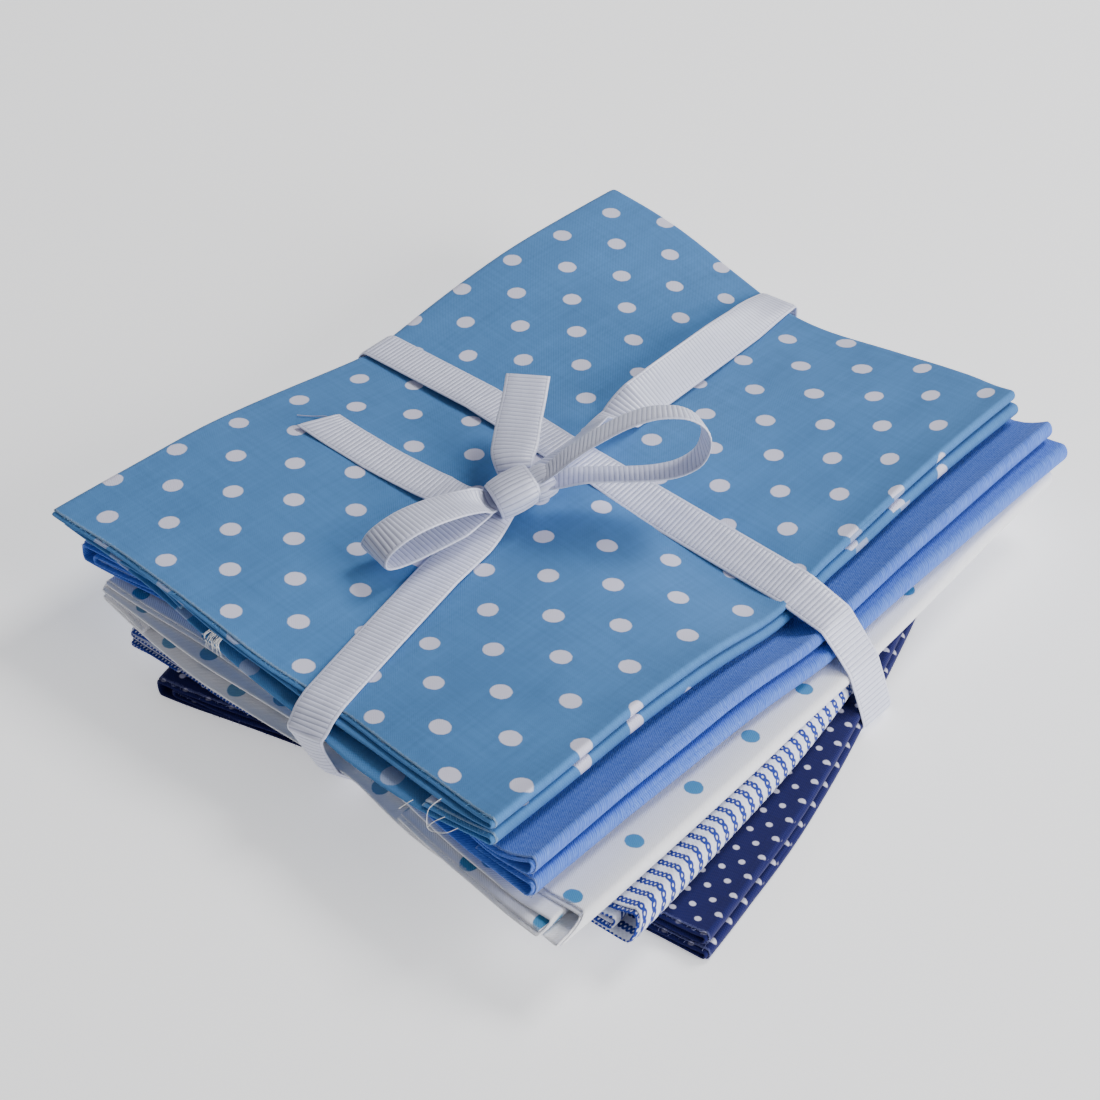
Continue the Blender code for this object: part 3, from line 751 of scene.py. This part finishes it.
def wrinkles(x, y):
    """Soft creases that run slantwise over the cloths, deeper near the ties, and the dents under the ties."""
    low = 0.0
    for height, (ahead, aside), wave, bend, (bend_x, bend_y), bend_wave, start, bend_start in CREASES:
        bent = bend * np.sin((x * bend_x + y * bend_y) / bend_wave + bend_start)
        low = low + height * np.sin((x * ahead + y * aside) / wave + bent + start)
    off_long, off_cross = from_long_tie(x, y), from_cross_tie(x, y)
    near_tie = np.maximum(valley(off_long, CREASE_REACH), valley(off_cross, CREASE_REACH))
    dent = DENT * (valley(off_long, DENT_REACH) + valley(off_cross, DENT_REACH))
    beside = off_cross - SUNK_ASIDE
    reach = np.where(beside < 0.0, SUNK_LEFT_REACH, SUNK_RIGHT_REACH)
    sunk = SUNK * valley(beside, reach) * ramp(y, -12.0, -32.0)
    return low * mix(CREASE_LEAST, 1.0, near_tie) - dent - sunk


def corner_round(t, shift, s):
    """How far the ends of a fold are drawn in, so that a folded corner comes out round."""
    half = CLOTH_SHORT / 2
    from_edge = np.clip(half - np.abs(t) * half - np.abs(shift), 0.0, CORNER_REACH)
    pull = CORNER_DRAW * (1.0 - np.sqrt(1.0 - (1.0 - from_edge / CORNER_REACH) ** 2))
    return np.sign(s) * pull * np.abs(s) ** 40


def cloth_surface(place):
    """Points of one folded cloth as a grid, with its rows and columns."""
    cloth = CLOTHS[place]
    rows, columns = section(cloth), plies()
    t, shift, height, level, normal_y, normal_z, lower, upper, down = (rows[:, i, None] for i in range(9))
    s, out, offset, across = (columns[None, :, i] for i in range(4))
    # every level's ends wander a little, each in its own way
    end_wander = wander(place * 7 + 1, down, *END_WANDER) * np.where(s < 0, 1.0, 0.7) * np.abs(s) ** 12
    side_wander = wander(place * 7 + 2, across, *SIDE_WANDER) * np.abs(t) ** 12
    longer = np.interp(level, range(LEVELS), cloth["ends"]) * np.interp(t, END_PLACES, cloth["ends_along"])
    longer = (longer - np.interp(t, END_PLACES, cloth["pulled_in"])) * np.maximum(-s, 0.0) ** 5
    x, y = plan_point(cloth, s + 0.0 * t, t + 0.0 * s)
    x = x + out + end_wander - longer - corner_round(t, shift, s)
    inward = np.maximum(y - near_edge(cloth, s), 0.0)
    open_by = edge_rise(cloth, s, upper, inward) - edge_rise(cloth, s, lower, inward)
    rounder = 1.0 + 0.45 * open_by / np.maximum((upper - lower) * LEVEL_PITCH / 2, 0.1)
    under = at_corners(cloth["reach_out"], s) * (level < 1.2) * ramp(inward, REACH_OUT_WITHIN, 0.0)
    y = y + shift * rounder + side_wander + normal_y * offset - under
    level_at = place * CLOTH_PITCH + lifted_by_folds(place, x, y) + height + normal_z * offset
    level_at = level_at + edge_rise(cloth, s, level, inward)
    z = settle(x, y, level_at) + wrinkles(x, y) * level_at / PILE_HEIGHT
    return np.stack((x, y, z), -1), rows, columns


def flat_middle(cloth, rows, columns):
    """Flat place of the middle of the cloth's top: x of the outer ply, and y of level 3."""
    top = rows[np.isclose(rows[:, 2], LEVEL / 2 + (LEVELS - 1) * LEVEL_PITCH) & (rows[:, 5] > 0)]
    order = np.argsort(top[:, 0])
    y = float(np.interp(0.0, top[order, 0], top[order, 8]))
    outer = columns[: int(np.argmax(columns[:, 0] > 0.9))]
    return float(np.interp(0.0, outer[:, 0], outer[:, 3])), y


# Thread ends along the raw edges
FRAY_SPACING, FRAY_LENGTH, FRAY_WIDTH = 0.7, 1.1, 0.11

# Loops of thread that have come out of the top cloth at its front left corner, and a rubbed, frayed spot
# further back, which is a tuft of short threads
TOP_CLOTH_LOOPS = [
    [(-94.6, -62.3, 31.4), (-97.4, -61.8, 30.4), (-98.6, -62.2, 28.6), (-99.0, -62.9, 26.4),
     (-98.6, -65.0, 26.6), (-97.8, -67.2, 27.6), (-96.4, -69.0, 29.2)],
    [(-98.9, -62.7, 26.6), (-98.0, -63.6, 28.2), (-96.4, -65.2, 29.6)],
    [(-97.4, -52.6, 23.6), (-98.4, -53.6, 24.8), (-98.2, -55.6, 27.6), (-97.0, -56.4, 28.4)]]
TUFT_AT, TUFT_THREADS = (-94.6, 9.8, 28.8), 26
LOOP_WIDTH, TUFT_WIDTH = 0.16, 0.12


def tuft():
    """Threads that come out close together and hang down outside the edge."""
    chance = random.Random(31)
    x, y, z = TUFT_AT
    threads = []
    for _ in range(TUFT_THREADS):
        root = y + chance.uniform(-2.2, 2.2)
        end = root + chance.uniform(-1.0, 1.6)
        fall = chance.uniform(0.8, 4.6)
        out = chance.uniform(0.3, 1.4)
        bend = (x - out, mix(root, end, 0.4), z - fall * 0.3)
        threads.append([(x + 0.4, root, z), bend, (x - out, end, z - fall)])
    return threads


def add_fray(place, raw_edge):
    """The frayed thread ends along a cloth's raw edge at the left."""
    cloth = CLOTHS[place]
    name = cloth["node"].replace("cloth_", "")
    material = thread_finish("threads_" + name, *cloth["threads"])
    piece = through_tree(line_mesh("frayed_edge_" + name, [raw_edge]), FRAYED_EDGE, {
        "Spacing": FRAY_SPACING * MM, "Thread Length": FRAY_LENGTH * MM, "Thread Width": FRAY_WIDTH * MM,
        "Seed": 11 + place, "Material": material})
    if cloth is CLOTHS[-1]:
        piece = joined(piece, loose_threads("loops", TOP_CLOTH_LOOPS, LOOP_WIDTH, material))
        piece = joined(piece, loose_threads("tuft", tuft(), TUFT_WIDTH, material))
    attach(piece, "root")
    return piece


def add_cloth(place, front, reverse):
    """One folded cloth, with a print of its own on each side."""
    cloth = CLOTHS[place]
    points, rows, columns = cloth_surface(place)
    down, across = rows[:, 8, None], columns[None, :, 3]
    flat = np.stack((across + 0.0 * down, down + 0.0 * across), -1)
    raw = np.minimum(np.minimum(down, down[-1] - down), np.minimum(across, across[0, -1] - across))
    thing = surface("folded_" + cloth["node"], points, flat, {"from_raw_edge": raw},
                    flip=cloth["outer_side"] > 0)
    origin = flat_middle(cloth, rows, columns)
    thing.data.materials.append(front(cloth["node"], origin, cloth["outer_side"]))
    thing.data.materials.append(reverse(cloth["node"] + "_reverse", origin, cloth["outer_side"]))
    solid = thing.modifiers.new("thickness", "SOLIDIFY")
    solid.thickness = PLY * MM
    solid.offset = 0.0
    solid.material_offset = 1
    piece = finished(thing)
    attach(piece, "root")
    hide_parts(cloth["node"])
    add_fray(place, points[:, 0])
    return points


# ---------------------------------------------------------------- ribbon

RIBBON_THICK = 0.42
RIB_PITCH = 1.15
RIB_HEIGHT = 0.2
STITCH_PITCH = 0.8
SELVEDGE = 0.8
RIB_FADE, EDGE_ROUNDING = 0.3, 0.4         # widths over which the ribs end and the edge gets round
RIB_STEPS = 5                              # rows of the mesh in one rib
ACROSS_RIBBON = np.array((-1.0, -0.97, -0.91, -0.85, -0.79, -0.4, 0.0, 0.4, 0.79, 0.85, 0.91, 0.97, 1.0))
RIBBON_CLEAR = PLY / 2 + RIBBON_THICK / 2 + RIB_HEIGHT + 0.1
SLANT_REACH = 8.0                          # length over which a slanting end leans


def grosgrain_tree():
    """Gives a strip its thickness, ribs across both faces and smooth selvedges."""
    tree, g, given = named_tree(
        "grosgrain", ("Rib Pitch", "Rib Height", "Thickness", "Ribbon Width", "Selvedge Width"))
    along, aside, rim = (g.add("GeometryNodeInputNamedAttribute", {"data_type": "FLOAT"}, {"Name": name})
                         for name in ("along", "aside", "rim"))
    from_edge = (1.0 - g.maths("ABSOLUTE", aside)) * given["Ribbon Width"] * 0.5
    ribs = g.maths("ABSOLUTE", g.maths("SINE", along * math.pi / given["Rib Pitch"])) ** 0.75
    ribbed = g.add("ShaderNodeClamp", {}, {0: (from_edge - given["Selvedge Width"]) / (RIB_FADE * MM)})
    to_edge = g.add("ShaderNodeClamp", {}, {0: from_edge / (EDGE_ROUNDING * MM)})
    relief = given["Rib Height"] * ribs * (ribbed * 0.75 + 0.25) * to_edge * rim
    half = given["Thickness"] * 0.5 * g.maths("SQRT", to_edge) * rim + relief
    normal = g.add("GeometryNodeInputNormal")
    upper, lower = (g.add("GeometryNodeSetPosition", {}, {"Geometry": given["Geometry"],
                                                          "Offset": g.scaled(normal, reach)})
                    for reach in (half, 0.0 - half))
    lower = g.add("GeometryNodeFlipFaces", {}, {0: lower})
    both = g.tree.nodes.new("GeometryNodeJoinGeometry")
    for face in (lower, upper):
        g.tree.links.new(face.output, both.inputs[0])
    closed = g.add("GeometryNodeMergeByDistance", {}, {0: Socket(g, both.outputs[0]), "Distance": 0.002 * MM})
    end_tree(g, closed, given["Material"])
    return tree


def ribbon_finish():
    """Off-white polyester: fine lengthways threads over the ribs, a stitched line inside each selvedge."""
    material, m, shader = new_finish("grosgrain_ribbon")
    along, across = m.flat_place()
    rib = m.maths("ABSOLUTE", m.maths("SINE", along * (math.pi / RIB_PITCH)))
    threads = m.noise(m.vector(along * 0.3, across * 4.0), 1.0)
    from_edge = RIBBON_WIDTH / 2 - m.maths("ABSOLUTE", across)
    stitch = m.inside(m.maths("ABSOLUTE", from_edge - SELVEDGE), 0.10, 0.08)
    stitch = stitch * (m.maths("SINE", along * (2 * math.pi / STITCH_PITCH)) * 0.3 + 0.7)
    uneven = m.noise(m.vector(along * 0.25, across * 0.8), 1.0)
    # painted shade: the grooves between the ribs, where shade falls, are darkened in the colour, less so on
    # the selvedges
    groove = m.inside(rib, 0.30, 0.22) * (1.0 - m.inside(from_edge, SELVEDGE, 0.1) * 0.7)
    # the darker colour carries the painted shade of the grooves, the stitched lines and the uneven tone
    dark = groove * 0.6 + stitch * 0.4 + (uneven - 0.5) * 0.25
    base = m.mixed(dark, colour(225, 228, 250), colour(126, 128, 170))
    height = threads * 0.5 + (1.0 - stitch) * 0.8
    bump = m.add("ShaderNodeBump", {}, {"Height": height, "Distance": 0.06 * MM})
    m.put(shader, {"Base Color": base, "Roughness": 0.36 + groove * 0.25, "Sheen Weight": 0.15,
                   "Specular IOR Level": 0.9, "Normal": bump})
    return material


def unit(vectors):
    return vectors / np.linalg.norm(vectors, axis=-1, keepdims=True)


def ribbon_surface(name, middles, across, widths, cups, closed=False, slant=0.0):
    """A strip along middles.  across and widths tell for each how it lies and how far it is gathered, and
    cups how high its middle stands; slant cuts its last end askew.  Gives its object, points and length."""
    widths, cups = (np.broadcast_to(np.asarray(values, float), (len(middles),)) for values in (widths, cups))
    if closed:
        middles, across, widths, cups = (np.concatenate((values, values[:1]))
                                         for values in (middles, across, widths, cups))
    place = distance_along(middles)
    ribs = max(2, round(place[-1] / RIB_PITCH))
    steps = np.linspace(0.0, place[-1], ribs * RIB_STEPS + 1)
    if closed:
        steps = steps[:-1]

    def even(values):
        if values.ndim == 1:
            return np.interp(steps, place, values)
        return np.column_stack([np.interp(steps, place, column) for column in values.T])

    middles, across, widths, cups = (even(values) for values in (middles, across, widths, cups))
    if closed:
        ahead = unit(np.roll(middles, -1, 0) - np.roll(middles, 1, 0))
    else:
        ahead = unit(np.gradient(middles, axis=0))
    side = unit(across - ahead * np.sum(across * ahead, 1)[:, None])
    normal = np.cross(side, ahead)
    aside = ACROSS_RIBBON[None, :, None]
    points = middles[:, None] + side[:, None] * aside * widths[:, None, None] / 2
    points = points + normal[:, None] * (1.0 - aside ** 2) * cups[:, None, None]
    if slant:
        last = ramp(steps, steps[-1] - SLANT_REACH, steps[-1])[:, None, None]
        points = points + ahead[:, None] * aside * last * slant
    along = np.arange(len(steps)) * RIB_PITCH / RIB_STEPS
    rim = np.ones(len(steps))
    if not closed:
        rim[0] = rim[-1] = 0.0
    flat = np.stack(np.broadcast_arrays(along[:, None], ACROSS_RIBBON * RIBBON_WIDTH / 2), -1)
    labels = {"along": (along * MM)[:, None], "aside": ACROSS_RIBBON[None, :], "rim": rim[:, None]}
    return surface(name, points, flat, labels, closed=closed), points, place[-1]


def make_ribbon(thing, node):
    """The strip as grosgrain, in the place of its node."""
    piece = through_tree(thing, GROSGRAIN, {
        "Rib Pitch": RIB_PITCH * MM, "Rib Height": RIB_HEIGHT * MM, "Thickness": RIBBON_THICK * MM,
        "Ribbon Width": RIBBON_WIDTH * MM, "Selvedge Width": SELVEDGE * MM, "Material": RIBBON})
    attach(piece, "root")
    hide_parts(node)


# ---------------------------------------------------------------- the two bands round the pile

KNOT_AT = np.array((-19.5, -6.6, 34.9))
ROUTE_STEP, ROUTE_BEND = 0.25, 1.3         # spacing of a band's route, and how softly it turns
MEETS_WITHIN = RIBBON_WIDTH * 0.52         # a band lies on what is this near to its middle line
LOWER_RUN_BELOW, UPPER_RUN_ABOVE = 3.0, PILE_HEIGHT * 0.7
STRAIGHT_UP_TO, ASIDE_FROM = 8.0, 20.0     # heights between which a band leaves its straight line
CROSSING_REACH = 14.0

# How a band is drawn together beside the knot, and where it is gathered at the cloths' edge
KNOT_PINCH_REACH, PINCHED_WIDTH, PINCHED_CUP = 15.0, 5.0, 1.6
GATHERED_SHARE, GATHERED_ASIDE, GATHERED_CUP = 0.36, 0.17, 0.8


def pulled_aside(along, pull):
    """How far a band's upper run stands out of its straight line; it bends at the knot."""
    return pull * np.maximum(0.0, 1.0 - np.abs(along - KNOT_PULL_AT) / PULL_REACH)


def taut(points):
    """Convex outline of points, counter-clockwise: a ribbon pulled tight bridges every hollow."""
    points = sorted(set(map(tuple, points)))

    def half(points):
        chain = []
        for point in points:
            while len(chain) > 1 and ((chain[-1][0] - chain[-2][0]) * (point[1] - chain[-2][1])
                                      - (chain[-1][1] - chain[-2][1]) * (point[0] - chain[-2][0])) <= 0:
                chain.pop()
            chain.append(point)
        return chain[:-1]

    return half(points) + half(points[::-1])


def band_route(outline, clearance):
    """The outline moved out by the clearance, as an even closed line with soft corners."""
    route = []
    count = len(outline)
    for i in range(count):
        before, here, after = (Vector(outline[(i + k) % count]) for k in (-1, 0, 1))
        into, out = (here - before).normalized(), (after - here).normalized()
        start = math.atan2(-into.x, into.y)
        swing = -into.angle_signed(out)
        parts = max(1, math.ceil(abs(swing) / 0.15))
        for part in range(parts + 1):
            angle = start + swing * part / parts
            route.append(here + clearance * Vector((math.cos(angle), math.sin(angle))))
    route = np.array([tuple(point) for point in route + route[:1]])
    place = distance_along(route)
    even = np.arange(0.0, place[-1], ROUTE_STEP)
    route = np.column_stack([np.interp(even, place, column) for column in route.T])
    reach = round(ROUTE_BEND / ROUTE_STEP)
    window = np.hanning(2 * reach + 3)[1:-1]
    window /= window.sum()
    padded = np.vstack((route[-reach:], route, route[:reach]))
    return np.column_stack([np.convolve(column, window, "valid") for column in padded.T])


def long_tie_aside(middles):
    """The left arm runs a little further back than straight, the right one forward beside the knot."""
    x = middles[:, 0]
    return 2.0 * ramp(x, -18.0, -46.0) - 1.8 * hump(x - 6.0, 17.0)


def cross_tie_aside(middles):
    """The back arm runs a little further right than straight."""
    return -2.3 * ramp(middles[:, 1], 4.0, 30.0)


def long_tie_lean(middles):
    """The long ribbon stands on its near edge beside the knot, then lifts its far edge, and lies down at its
    end."""
    return np.radians(np.interp(middles[:, 0], (-14.0, 2.0, 13.0, 21.0, 29.0, 38.0, 60.0, 76.0, 88.0),
                                (0.0, 44.0, 46.0, 4.0, -28.0, -36.0, -33.0, -18.0, 0.0)))


def cross_tie_lean(middles):
    """The cross ribbon's front arm lies with its left edge down in the sunken cloth."""
    return np.radians(np.interp(middles[:, 1], (-84.0, -70.0, -30.0, -10.0), (0.0, 14.0, 14.0, 0.0)))


def long_tie_gather(middles):
    """Where the left arm runs down the cloths' side it is drawn together."""
    return eased(ramp(middles[:, 2], 26.5, 12.5) * ramp(middles[:, 0], -72.0, -88.0))


def no_gather(middles):
    return 0.0 * middles[:, 0]


def band_outline(points, along, away):
    """The convex section of the cloths that a band meets, as (along, height)."""
    met = np.abs(away) < MEETS_WITHIN
    return taut(np.round(np.column_stack((along[met], points[met, 2])), 2).tolist())


def add_band(node, start, heading, cloth_points, lean, aside, gather, pull=0.0, under=0.0, lifts=1.0):
    """A ribbon band round the cloths.  lean turns it about one edge, which stays down where lifts is 1 and up
    where it is -1; aside moves its upper run off the straight line; gather tells where it is drawn together;
    under lowers its lower run where it crosses the other band."""
    start, heading = np.array(start, float), np.array(heading, float) / np.linalg.norm(heading)
    side, up = np.array((-heading[1], heading[0], 0.0)), np.array((0.0, 0.0, 1.0))
    points = np.concatenate([grid.reshape(-1, 3) for grid in cloth_points])
    along = (points - start) @ heading
    away = (points - start) @ side - np.where(points[:, 2] > PILE_HEIGHT / 2, pulled_aside(along, pull), 0.0)
    along, height = band_route(band_outline(points, along, away), RIBBON_CLEAR).T

    # the route in plan
    share = eased(ramp(height, STRAIGHT_UP_TO, ASIDE_FROM))
    middles = start + heading * along[:, None] + side * (pulled_aside(along, pull) * share)[:, None]
    middles[:, 2] = height
    middles = middles + side * (aside(middles) * share)[:, None]
    below = height < LOWER_RUN_BELOW
    middles[below, 2] -= under * hump(from_cross_tie(middles[below, 0], middles[below, 1]), CROSSING_REACH)

    # how it leans, and where it is drawn together
    on_top = height > UPPER_RUN_ABOVE
    angle = lean(middles) * on_top
    across = side * np.cos(angle)[:, None] - up * np.sin(angle)[:, None]
    from_knot = np.linalg.norm(middles[:, :2] - KNOT_AT[:2], axis=1)
    pinched = ramp(from_knot, KNOT_PINCH_REACH, 0.0) ** 1.5 * on_top
    gathered = gather(middles)
    widths = mix(RIBBON_WIDTH, PINCHED_WIDTH, pinched) * (1.0 - GATHERED_SHARE * gathered)
    drawn = lifts * np.sign(angle) * (1.0 - np.cos(angle)) / 2 - gathered * GATHERED_ASIDE
    middles = middles + side * (drawn * RIBBON_WIDTH)[:, None]
    middles[:, 2] += lifts * np.abs(np.sin(angle)) * RIBBON_WIDTH / 2 * 0.95 + pinched * PINCHED_CUP
    cups = pinched * PINCHED_CUP + gathered * GATHERED_CUP
    thing, grid, length = ribbon_surface("ribbon_" + node, middles, across, widths, cups, closed=True)
    make_ribbon(thing, node)
    return grid


# ---------------------------------------------------------------- the bow

# The bow's stations are (along, aside, up) from the knot's middle, where along runs to the right of the bow
# and aside to its back.
DIAGONAL = math.sqrt(0.5)
BOW_AXES = np.array(((DIAGONAL, -DIAGONAL, 0.0), (DIAGONAL, DIAGONAL, 0.0), (0.0, 0.0, 1.0)))
KNOT_AXIS = (0.88, 0.40, 0.25)
KNOT_SQUARENESS = 2.2                      # 2 gives an oval wrap, more a squarer one

# (along, rise in the loop's own leaning plane)
RIGHT_LOOP = [(1.5, 0.7), (5.0, 2.9), (8.0, 5.5), (12.0, 9.1), (16.6, 12.7), (21.0, 15.6), (25.3, 18.0),
              (30.0, 19.8), (34.1, 20.4), (38.5, 20.0), (41.8, 18.0), (43.3, 14.8), (42.8, 11.2), (41.0, 8.4),
              (37.5, 6.2), (33.0, 5.0), (27.0, 4.5), (20.0, 4.4), (14.0, 4.0), (9.5, 2.8), (5.5, 1.4),
              (1.5, 0.1)]
RIGHT_LOOP_RISE = (0.178, 0.984)           # aside, up
# how the ribbon lies across, as (along, aside, up), on its way out and on its way back
RIGHT_LOOP_WIDTHS = ((-0.12, 0.88, -0.39), (-0.17, 0.92, -0.29))

# (along, aside, up)
LEFT_LOOP = [(-1.5, -0.7, 0.0), (-5.2, -2.6, -0.3), (-8.5, -5.2, 1.6), (-12.5, -8.4, 3.2),
             (-17.5, -12.2, 4.4), (-22.6, -16.2, 4.9), (-26.6, -19.2, 4.2), (-29.8, -21.2, 2.2),
             (-30.8, -21.8, -0.3), (-29.4, -20.6, -2.3), (-25.8, -18.2, -2.9), (-20.6, -14.6, -2.7),
             (-14.4, -10.2, -2.3), (-9.4, -6.2, -1.8), (-5.4, -3.0, -1.4), (-1.8, -0.9, -0.9)]
LEFT_LOOP_WIDTHS = ((0.56, -0.82, 0.10), (0.56, -0.82, 0.10))

# (along, aside, up, width, height of the cup)
RAISED_TAIL = [(0.4, 6.1, -2.4, 6.4, 1.0), (0.0, 6.5, 0.2, 7.8, 1.2), (-0.3, 8.2, 2.0, 9.4, 1.2),
               (-0.3, 10.8, 2.7, 10.6, 0.9), (0.2, 14.0, 3.4, 11.0, 0.5), (1.0, 20.0, 4.9, 10.8, 0.1),
               (2.1, 26.5, 6.5, 10.6, 0.0), (3.0, 33.2, 8.2, 10.6, 0.0)]

# plan points on the top cloth, and how far over it the middle of the ribbon runs
LYING_TAIL = [(-23.0, 2.0, 1.6), (-25.2, 7.0, 1.1), (-26.6, 13.0, 0.8), (-27.6, 20.0, 0.7),
              (-28.6, 28.0, 0.7), (-29.2, 36.0, 0.7), (-29.6, 43.0, 0.75), (-29.9, 50.0, 1.1)]
LYING_TAIL_ROOT, LYING_TAIL_WIDTH, LYING_TAIL_SLANT = 6.0, 10.2, -2.2

# a selvedge thread that has come out of the tail's end, given in the same way
TAIL_THREAD = [(-27.0, 48.6, 1.0), (-27.4, 50.2, 0.8), (-28.8, 52.0, 0.5), (-30.3, 53.8, 0.35),
               (-31.7, 55.6, 0.3)]
TAIL_THREAD_WIDTH = 0.26


def bow_points(stations):
    return KNOT_AT + np.asarray(stations, float) @ BOW_AXES


def add_loop(node, stations, root_width, loop_widths, gathered, root_cup):
    """A loop of the bow: gathered and level inside the knot, full and leaning further out.  gathered gives
    how wide it still is inside the knot, on its way out and on its way back."""
    middles = smooth_curve(bow_points(stations))
    outside = ramp(np.linalg.norm(middles - KNOT_AT, axis=1), 6.5, 16.5)
    way = np.linspace(0.0, 1.0, len(middles))
    leaning = mix(np.array(loop_widths[0]), np.array(loop_widths[1]), way[:, None])
    across = mix(np.array(root_width), leaning, outside[:, None]) @ BOW_AXES
    widths = mix(mix(gathered[0], gathered[1], way), RIBBON_WIDTH, outside ** 0.8)
    cups = (1.0 - outside) * root_cup * np.where(way < 0.5, 1.0, -0.5)
    thing, _, length = ribbon_surface("ribbon_" + node, middles, across, widths, cups)
    make_ribbon(thing, node)


def ring(centre, axis, depth, height, width, bulge):
    """A closed wrap of ribbon round an axis, a little uneven."""
    up = unit(BOW_AXES[2] - axis * (BOW_AXES[2] @ axis))
    back = np.cross(up, axis)
    angle = np.linspace(0.0, 2 * math.pi, 145)[:-1]
    out, rise = np.cos(angle), np.sin(angle)
    reach = (np.abs(out) ** KNOT_SQUARENESS + np.abs(rise) ** KNOT_SQUARENESS) ** (-1 / KNOT_SQUARENESS)
    reach = reach * (1.0 + 0.02 * np.sin(3 * angle + 0.6) + 0.012 * np.sin(7 * angle))
    middles = centre + back * (out * reach * depth)[:, None] + up * (rise * reach * height)[:, None]
    across = np.tile(axis, (len(angle), 1)) + 0.06 * np.sin(2 * angle)[:, None] * back
    return ribbon_surface("ribbon_bow_knot", middles, across, width, -bulge, closed=True)


def add_knot():
    """The knot is a wrap of the same ribbon, and beside it shows the strand that comes round from below."""
    axis = unit(np.array(KNOT_AXIS) @ BOW_AXES)
    wrap, _, length = ring(KNOT_AT - axis * 0.3, axis, 4.7, 3.2, RIBBON_WIDTH, 0.6)
    strand, _, strand_length = ring(bow_points((0.0, -1.1, -0.5)) + axis * 6.9, axis, 3.7, 2.5, 5.6, 0.5)
    # only half of the strand's width shows
    make_ribbon(joined(wrap, strand), "bow_knot")


def over_top_cloth(stations):
    """Points that are given by their place in plan and their height over the top cloth."""
    points = np.array(stations)
    points[:, 2] += top_of_pile(points[:, 0], points[:, 1])
    return points


def add_raised_tail():
    raised = smooth_curve(RAISED_TAIL)
    across = np.tile(np.array((1.0, 0.0, 0.05)) @ BOW_AXES, (len(raised), 1))
    thing, _, length = ribbon_surface("ribbon_bow_tail_raised", bow_points(raised[:, :3]), across,
                                      raised[:, 3], raised[:, 4])
    make_ribbon(thing, "bow_tail_raised")


def add_lying_tail():
    middles = smooth_curve(over_top_cloth(LYING_TAIL))
    across = np.tile(np.array((1.0, 0.0, 0.0)), (len(middles), 1))
    outside = ramp(np.linspace(0.0, 1.0, len(middles)), 0.0, 0.25)
    thing, _, length = ribbon_surface("ribbon_bow_tail_lying", middles, across,
                                      mix(LYING_TAIL_ROOT, LYING_TAIL_WIDTH, outside),
                                      (1.0 - outside) * 1.2, slant=LYING_TAIL_SLANT)
    loose = loose_threads("loose_thread_of_lying_tail", [over_top_cloth(TAIL_THREAD)], TAIL_THREAD_WIDTH,
                          RIBBON)
    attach(loose, "root")
    make_ribbon(thing, "bow_tail_lying")


# ---------------------------------------------------------------- floor and lights

FLOOR_REACH = 6.0                          # in metres


def add_floor():
    mesh = bpy.data.meshes.new("floor")
    corners = [(x * FLOOR_REACH, y * FLOOR_REACH, 0.0) for x, y in ((-1, -1), (1, -1), (1, 1), (-1, 1))]
    mesh.from_pydata(corners, [], [(0, 1, 2, 3)])
    material, m, shader = new_finish("pale_floor")
    m.put(shader, {"Base Color": (0.92, 0.92, 0.93, 1), "Roughness": 0.7, "Emission Color": (1, 1, 1, 1),
                   "Emission Strength": 0.6})
    mesh.materials.append(material)
    linked("floor", mesh)


def add_lights():
    world = bpy.data.worlds.new("studio")
    bpy.context.scene.world = world
    world.use_nodes = True
    background = world.node_tree.nodes["Background"]
    background.inputs["Color"].default_value = (0.94, 0.95, 1.0, 1)
    background.inputs["Strength"].default_value = 0.22
    # name, place in metres, size of the softbox, power
    for name, place, size, power in (("key", (0.95, -0.1, 1.15), 0.5, 15.5),
                                     ("fill", (0.3, -1.1, 0.42), 0.8, 17.0)):
        lamp = bpy.data.lights.new(name, "AREA")
        lamp.size, lamp.energy = size, power
        thing = linked(name, lamp)
        thing.location = place
        thing.rotation_mode = "QUATERNION"
        thing.rotation_quaternion = (-Vector(place)).to_track_quat("-Z", "Y")


# ---------------------------------------------------------------- the bundle

add_floor()
add_lights()


def back_of(pattern, share):
    """The back of a print, where a share of it shows through."""
    return lambda name, origin, side: pattern(name, origin, side, share)


FABRICS = [(navy_pin_dots, back_of(navy_pin_dots, 0.3)), (ring_stripes, ring_stripes),
           (white_twill_dots, back_of(white_twill_dots, 0.9)), (chambray, chambray),
           (sky_dots, back_of(sky_dots, 0.4))]
GROSGRAIN, RIBBON = grosgrain_tree(), ribbon_finish()
FRAYED_EDGE, LOOSE_THREAD = frayed_edge_tree(), loose_thread_tree()
cloth_points = [add_cloth(place, front, reverse) for place, (front, reverse) in enumerate(FABRICS)]
cross_points = add_band("tie_cross", (CROSS_TIE_AT, 0.0, 0.0), (CROSS_TIE_SLOPE, 1.0, 0.0), cloth_points,
                        cross_tie_lean, cross_tie_aside, no_gather, lifts=-1.0)
over_cross = cross_points[cross_points[:, 0, 2] > 20.0]
add_band("tie_long", (0.0, LONG_TIE_AT, 0.0), (1.0, LONG_TIE_SLOPE, 0.0), cloth_points + [over_cross],
         long_tie_lean, long_tie_aside, long_tie_gather, pull=KNOT_PULL, under=0.9)
add_knot()
right_loop = [(along, *(rise * part for part in RIGHT_LOOP_RISE)) for along, rise in RIGHT_LOOP]
add_loop("bow_loop_right", right_loop, (0.0, 1.0, 0.0), RIGHT_LOOP_WIDTHS, (4.8, 4.0), 0.6)
add_loop("bow_loop_left", LEFT_LOOP, (0.0, -1.0, 0.0), LEFT_LOOP_WIDTHS, (7.4, 4.6), 1.4)
add_raised_tail()
add_lying_tail()
